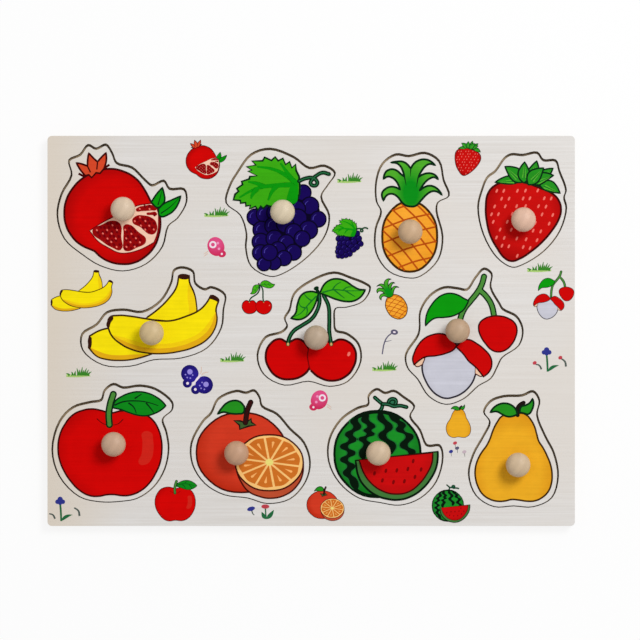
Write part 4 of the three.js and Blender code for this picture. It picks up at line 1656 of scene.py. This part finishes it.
# the fourth colour of each birch is the painted shade of its left end
BIRCH_FACE = SheetFinish("printed_birch", (223, 220, 217), (211, 206, 201), (217, 210, 202),
                         (216, 204, 188))
BIRCH_RAW = SheetFinish("raw_birch", (222, 199, 164), (199, 170, 131), (214, 186, 146), (211, 182, 141),
                        0.72)
SCORCHED_EDGE = EdgeFinish("scorched_edge", (100, 82, 68), (56, 44, 36), 1.25 * MM)
SAWN_EDGE = EdgeFinish("sawn_edge", (216, 192, 156), (168, 128, 88), 1.25 * MM)
PLATED_STEEL = PlatedFinish("plated_steel", (196, 198, 200), (150, 150, 148))


@cache
def finish(kind: SheetFinish | EdgeFinish | PlatedFinish) -> bpy.types.Material:
    """Gives a finish's material, made once."""
    return kind.material()


class SheetSide(IntEnum):
    """The sides of a sheet that differ in finish, numbered as its materials are."""

    TOP = 0
    CUT_WALL = 1
    OUTER_EDGE = 2
    UNDERSIDE = 3


@dataclass
class Sheet:
    """A flat wooden piece with eased top edges, cut as the CAD sheet is.

    A rise is the upward part of a face's normal: a level face has more than the first, a wall less than the
    second, and a face with more than the third belongs to the top or the underside.
    """

    name: str
    node: str
    body: str
    slot: str
    top: SheetFinish
    ease: float = 0.06 * MM
    border: float = 5.5 * MM
    level_rise: float = 0.9
    wall_rise: float = 0.1
    side_rise: float = 0.3

    def build(self) -> None:
        """Copies the CAD sheet, eases its top edges and dresses its faces by the way they point."""
        low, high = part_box(self.node)
        shape = bmesh.new()
        shape.from_mesh(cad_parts[self.node].data)
        bmesh.ops.remove_doubles(shape, verts=shape.verts, dist=MERGE_MM * MM)
        level = self.level_rise
        within = [edge for edge in shape.edges if all(face.normal.z > level for face in edge.link_faces)]
        corners = list({vert for edge in within for vert in edge.verts})
        bmesh.ops.dissolve_limit(shape, angle_limit=LEVEL, verts=corners, edges=within)
        tops = [face for face in shape.faces if face.normal.z > level]
        bmesh.ops.inset_region(shape, faces=tops, thickness=self.ease, use_even_offset=True,
                               use_boundary=True)
        walls = [face for face in shape.faces if abs(face.normal.z) < self.wall_rise]
        rim = {vert for face in walls for vert in face.verts if vert.co.z > high.z - self.ease / 2}
        bmesh.ops.translate(shape, verts=list(rim), vec=(0.0, 0.0, -self.ease))
        shape.normal_update()
        for face in shape.faces:
            face.material_index = self._side(face, low, high)
        soften(shape)
        materials = [finish(kind) for kind in (self.top, SCORCHED_EDGE, SAWN_EDGE, BIRCH_RAW)]
        piece = dress(self.name, shape, materials)
        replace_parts(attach(piece, self.body), self.node)

    def _side(self, face: bmesh.types.BMFace, low: Vector, high: Vector) -> SheetSide:
        """Tells which side of the sheet a face belongs to.

        Args:
            face: the face.
            low: lowest corner of the sheet.
            high: highest corner of the sheet.

        Returns:
            The side.
        """
        if face.normal.z > self.side_rise:
            return SheetSide.TOP
        if face.normal.z < -self.side_rise:
            return SheetSide.UNDERSIDE
        spot = face.calc_center_median()
        room = min(spot.x - low.x, high.x - spot.x, spot.y - low.y, high.y - spot.y)
        outward = face.normal.dot(spot - (low + high) / 2) > 0
        is_edge = self.body == "board" and room < self.border and outward
        return SheetSide.OUTER_EDGE if is_edge else SheetSide.CUT_WALL


@dataclass
class Knob:
    """Turned knob: a foot, a drawn-in neck and a domed head, bored for its screw."""

    fruit: str
    tone: Colour
    fleck_tone: float = 0.8
    foot_radius: float = 4.7 * MM
    foot_ease: float = 0.3 * MM
    neck_radius: float = 3.8 * MM
    neck_height: float = 3.6 * MM
    neck_step: float = 0.2 * MM
    top_flatness: float = 0.82
    bore_radius: float = 1.8 * MM
    bore_depth: float = 7.8 * MM
    bore_point: float = 2.5 * MM
    sides: int = 64
    dome_steps: int = 24
    cove_steps: int = 6

    def build(self) -> None:
        """Spins the knob on its fruit piece and dresses it."""
        node = f"{self.fruit}_knob"
        low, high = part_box(node)
        middle = (low + high) / 2
        shape = bmesh.new()
        spin_profile(shape, self._profile(high - low), self.sides)
        bmesh.ops.recalc_face_normals(shape, faces=shape.faces)
        bmesh.ops.translate(shape, verts=shape.verts, vec=(middle.x, middle.y, low.z))
        soften(shape)
        darker = tuple(round(channel * self.fleck_tone) for channel in self.tone)
        turned = TurnedFinish(f"{self.fruit}_knob_beech", self.tone, darker, tuple(middle))
        piece = dress(f"{self.fruit}_turned_knob", shape, [turned.material()])
        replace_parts(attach(piece, self.fruit), node)

    def _profile(self, size: Vector) -> list[Point]:
        """Gives the knob's half profile from the bore's end round to the top.

        Args:
            size: the knob's width, depth and height.

        Returns:
            Radius and height of each point, in metres.
        """
        head, height = size.x / 2, size.z
        points = [(0.0, self.bore_depth), (self.bore_radius, self.bore_depth - self.bore_point),
                  (self.bore_radius, 0.0), (self.foot_radius - self.foot_ease, 0.0)]
        for step in range(self.cove_steps + 1):
            share = step / self.cove_steps
            swell = math.cos(share * math.pi / 2)
            cove = 1 - math.sqrt(1 - swell ** 2)
            radius = self.neck_radius + (self.foot_radius - self.neck_radius) * cove
            points.append((radius, self.foot_ease + (self.neck_height / 2 - self.foot_ease) * share))
        points.append((self.neck_radius, self.neck_height - self.neck_step))
        under = math.acos(self.neck_radius / head)
        for step in range(1, self.dome_steps):
            turn = -under + step / self.dome_steps * (under + math.pi / 2)
            share = (math.sin(turn) + math.sin(under)) / (1 + math.sin(under))
            radius = head * math.cos(turn) ** self.top_flatness
            points.append((radius, self.neck_height + (height - self.neck_height) * share))
        return [*points, (0.0, height)]


@dataclass
class Screw:
    """Countersunk wood screw from below: a head with a cross recess, a shank and a rolled thread."""

    fruit: str
    head_radius: float = 2.9 * MM
    shank_radius: float = 1.5 * MM
    core_radius: float = 1.1 * MM
    rim_height: float = 0.4 * MM
    cone_height: float = 1.7 * MM
    point: float = 2.5 * MM
    recess_reach: float = 1.7 * MM
    recess_half: float = 0.35 * MM
    recess_depth: float = 1.1 * MM
    recess_taper: float = 0.75
    shank_end: float = 2.0 * MM
    core_start: float = 2.4 * MM
    pitch: float = 1.2 * MM
    thread_half: float = 0.35 * MM
    thread_sink: float = 0.9
    thread_gap: float = 0.2 * MM
    thread_turns: int = 6
    sides: int = 32

    def build(self) -> None:
        """Makes the screw under its knob and dresses it."""
        node = f"{self.fruit}_screw"
        low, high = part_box(node)
        middle = (low + high) / 2
        length = high.z - low.z
        shape = bmesh.new()
        self._add_body(shape, length)
        self._add_thread(shape, length)
        bmesh.ops.remove_doubles(shape, verts=shape.verts, dist=MERGE_MM * MM)
        bmesh.ops.recalc_face_normals(shape, faces=shape.faces)
        bmesh.ops.translate(shape, verts=shape.verts, vec=(middle.x, middle.y, low.z))
        soften(shape)
        piece = dress(f"{self.fruit}_wood_screw", shape, [finish(PLATED_STEEL)])
        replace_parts(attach(piece, self.fruit), node)

    def _add_body(self, shape: bmesh.types.BMesh, length: float) -> None:
        """Spins head, shank and point, and sinks a cross into the head.

        Args:
            shape: the screw in the making.
            length: the screw's length.
        """
        neck = self.rim_height + self.cone_height
        profile = ((self.head_radius, 0.0), (self.head_radius, self.rim_height), (self.shank_radius, neck),
                   (self.shank_radius, neck + self.shank_end), (self.core_radius, neck + self.core_start),
                   (self.core_radius, length - self.point), (0.0, length))
        spin_profile(shape, profile, self.sides)
        ring = [edge for edge in shape.edges if edge.is_boundary]
        reach, half = self.recess_reach, self.recess_half
        arm = ((half, reach), (half, half), (reach, half), (reach, -half), (half, -half), (half, -reach))
        corners = [*arm, *((-x, -y) for x, y in arm)]
        cross = [shape.verts.new((x, y, 0.0)) for x, y in corners]
        sides = [shape.edges.new(pair) for pair in zip(cross, [*cross[1:], cross[0]])]
        bmesh.ops.triangle_fill(shape, edges=ring + sides, use_beauty=True)
        grown = bmesh.ops.extrude_edge_only(shape, edges=sides)["geom"]
        floor = [item for item in grown if isinstance(item, bmesh.types.BMVert)]
        bmesh.ops.translate(shape, verts=floor, vec=(0.0, 0.0, self.recess_depth))
        bmesh.ops.scale(shape, verts=floor, vec=(self.recess_taper, self.recess_taper, 1.0))
        ends = [item for item in grown if isinstance(item, bmesh.types.BMEdge) and item.is_boundary]
        bmesh.ops.contextual_create(shape, geom=ends)

    def _add_thread(self, shape: bmesh.types.BMesh, length: float) -> None:
        """Winds a ridge round the shank.

        Args:
            shape: the screw in the making.
            length: the screw's length.
        """
        top = length - self.point - self.thread_gap
        foot = top - self.thread_turns * self.pitch
        inner = self.core_radius * self.thread_sink
        corners = ((inner, -self.thread_half), (self.shank_radius, 0.0), (inner, self.thread_half))
        verts = [shape.verts.new((radius, 0.0, foot + height)) for radius, height in corners]
        start = shape.faces.new(verts)
        steps = self.thread_turns * self.sides // 2
        climb = (0.0, 0.0, self.thread_turns * self.pitch / steps)
        bmesh.ops.spin(shape, geom=[start, *start.verts, *start.edges], cent=(0, 0, 0), axis=(0, 0, 1),
                       dvec=climb, angle=math.tau * self.thread_turns, steps=steps)


@dataclass
class FruitPiece:
    """A lift-out piece: its printed sheet, the knob on it and the screw that holds the knob."""

    fruit: str
    picture: Picture
    knob_tone: Colour

    def build(self) -> None:
        """Builds the piece and prints its picture."""
        slot = f"{self.fruit}_print"
        Sheet(f"{self.fruit}_cutout", f"{self.fruit}_tile", self.fruit, slot, BIRCH_FACE).build()
        Knob(self.fruit, self.knob_tone).build()
        Screw(self.fruit).build()
        low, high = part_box(f"{self.fruit}_knob")
        middle = (low + high) / 2 / MM
        press = Press(f"{self.fruit}_picture")
        press.place(self.picture.knob, (middle.x, middle.y))
        self.picture.draw(press)
        press.lift(self.fruit)


def seen_ray(tree: bpy.types.NodeTree) -> Socket:
    """Gives 1 for rays that show a surface in the picture, in a mirror or through glass.

    Args:
        tree: the node tree it is added to.

    Returns:
        The socket that gives it.
    """
    path = tree.nodes.new("ShaderNodeLightPath")
    either = path.outputs["Is Camera Ray"]
    for ray in ("Is Glossy Ray", "Is Transmission Ray"):
        larger = tree.nodes.new("ShaderNodeMath")
        larger.operation = "MAXIMUM"
        tree.links.new(either, larger.inputs[0])
        tree.links.new(path.outputs[ray], larger.inputs[1])
        either = larger.outputs["Value"]
    return either


@dataclass
class Studio:
    """White floor, soft light from the upper right and a camera straight above."""

    frame_width: float = 364.05 * MM
    aim: Point = (5.0 * MM, 6.2 * MM)
    camera_height: float = 2.0
    floor_size: float = 12.0
    floor_drop: float = 0.05 * MM
    floor_tone: tuple[float, float, float, float] = (0.9, 0.9, 0.9, 1.0)
    floor_roughness: float = 0.9
    floor_light: float = 0.86
    ambient: float = 0.52
    lamp_power: float = 23.8
    lamp_size: float = 0.7
    lamp_distance: float = 2.0
    lamp_turn: float = 45.0
    lamp_rise: float = 56.0

    def build(self) -> None:
        """Builds the floor, the light and the camera."""
        self._add_floor()
        self._light_world()
        self._add_lamp()
        self._add_camera()
        bpy.context.scene.view_settings.view_transform = "Standard"

    def _add_floor(self) -> None:
        """Lays a floor that looks white and keeps the board's shadow."""
        shape = bmesh.new()
        bmesh.ops.create_grid(shape, x_segments=1, y_segments=1, size=self.floor_size / 2)
        bmesh.ops.translate(shape, verts=shape.verts, vec=(0.0, 0.0, -self.floor_drop))
        recipe = Recipe("studio_floor")
        matt = {"Base Color": self.floor_tone, "Roughness": self.floor_roughness, "Specular IOR Level": 0.0}
        recipe.feed(recipe.shader, matt)
        glow = recipe.add("ShaderNodeEmission", {"Color": WHITE, "Strength": 1.0})
        share = recipe.add("ShaderNodeMath", {0: seen_ray(recipe.tree), 1: self.floor_light},
                           operation="MULTIPLY")
        sockets = {0: share.outputs["Value"], 1: recipe.shader.outputs["BSDF"], 2: glow.outputs["Emission"]}
        both = recipe.add("ShaderNodeMixShader", sockets)
        recipe.tree.links.new(both.outputs["Shader"],
                              recipe.tree.nodes["Material Output"].inputs["Surface"])
        dress("studio_floor", shape, [recipe.material])

    def _light_world(self) -> None:
        """Sets soft light from all round, in front of a white backdrop."""
        world = bpy.data.worlds.new("studio_light")
        world.use_nodes = True
        tree = world.node_tree
        background = tree.nodes["Background"]
        background.inputs["Color"].default_value = WHITE
        strength = tree.nodes.new("ShaderNodeMapRange")
        tree.links.new(seen_ray(tree), strength.inputs["Value"])
        strength.inputs["To Min"].default_value = self.ambient
        strength.inputs["To Max"].default_value = 1.0
        tree.links.new(strength.outputs["Result"], background.inputs["Strength"])
        bpy.context.scene.world = world

    def _add_lamp(self) -> None:
        """Hangs a soft square lamp above the upper right corner."""
        turn, rise = math.radians(self.lamp_turn), math.radians(self.lamp_rise)
        towards = Vector((math.cos(turn) * math.cos(rise), math.sin(turn) * math.cos(rise), math.sin(rise)))
        light = bpy.data.lights.new("studio_lamp", "AREA")
        light.energy = self.lamp_power
        light.size = self.lamp_size
        lamp = bpy.data.objects.new("studio_lamp", light)
        lamp.location = towards * self.lamp_distance
        lamp.rotation_mode = "QUATERNION"
        lamp.rotation_quaternion = towards.to_track_quat("Z", "Y")
        bpy.context.scene.collection.objects.link(lamp)

    def _add_camera(self) -> None:
        """Hangs the camera over the board so that the picture is as wide as the photograph's."""
        camera = bpy.data.cameras.new("studio_camera")
        camera.angle = 2 * math.atan(self.frame_width / 2 / (self.camera_height - FACE_HEIGHT))
        holder = bpy.data.objects.new("studio_camera", camera)
        holder.location = (*self.aim, self.camera_height)
        bpy.context.scene.collection.objects.link(holder)
        bpy.context.scene.camera = holder


def main() -> None:
    """Builds the board, its fruit pieces and the studio, and logs each piece as it is built."""
    logging.basicConfig(level=logging.INFO, format="%(message)s")
    Sheet("ply_back", "back_panel", "board", "board_back", BIRCH_RAW).build()
    Sheet("printed_face", "face_panel", "board", "board_face", BIRCH_FACE).build()
    Scatter().build()
    pieces = (
        FruitPiece("pomegranate", Pomegranate(), (211, 188, 162)),
        FruitPiece("grapes", Grapes(), (211, 195, 167)),
        FruitPiece("pineapple", Pineapple(), (196, 163, 128)),
        FruitPiece("strawberry", Strawberry(), (216, 177, 154)),
        FruitPiece("bananas", Bananas(), (204, 179, 134)),
        FruitPiece("cherries", Cherries(), (178, 157, 134)),
        FruitPiece("lychee", Lychee(), (181, 152, 123)),
        FruitPiece("apple", Apple(), (194, 160, 134)),
        FruitPiece("orange", Orange(), (190, 149, 119)),
        FruitPiece("watermelon", Watermelon(), (202, 178, 149)),
        FruitPiece("pear", Pear(), (201, 176, 144)),
    )
    for piece in pieces:
        piece.build()
        log.info("%s piece built", piece.fruit)
    Studio().build()


if __name__ == "__main__":
    main()
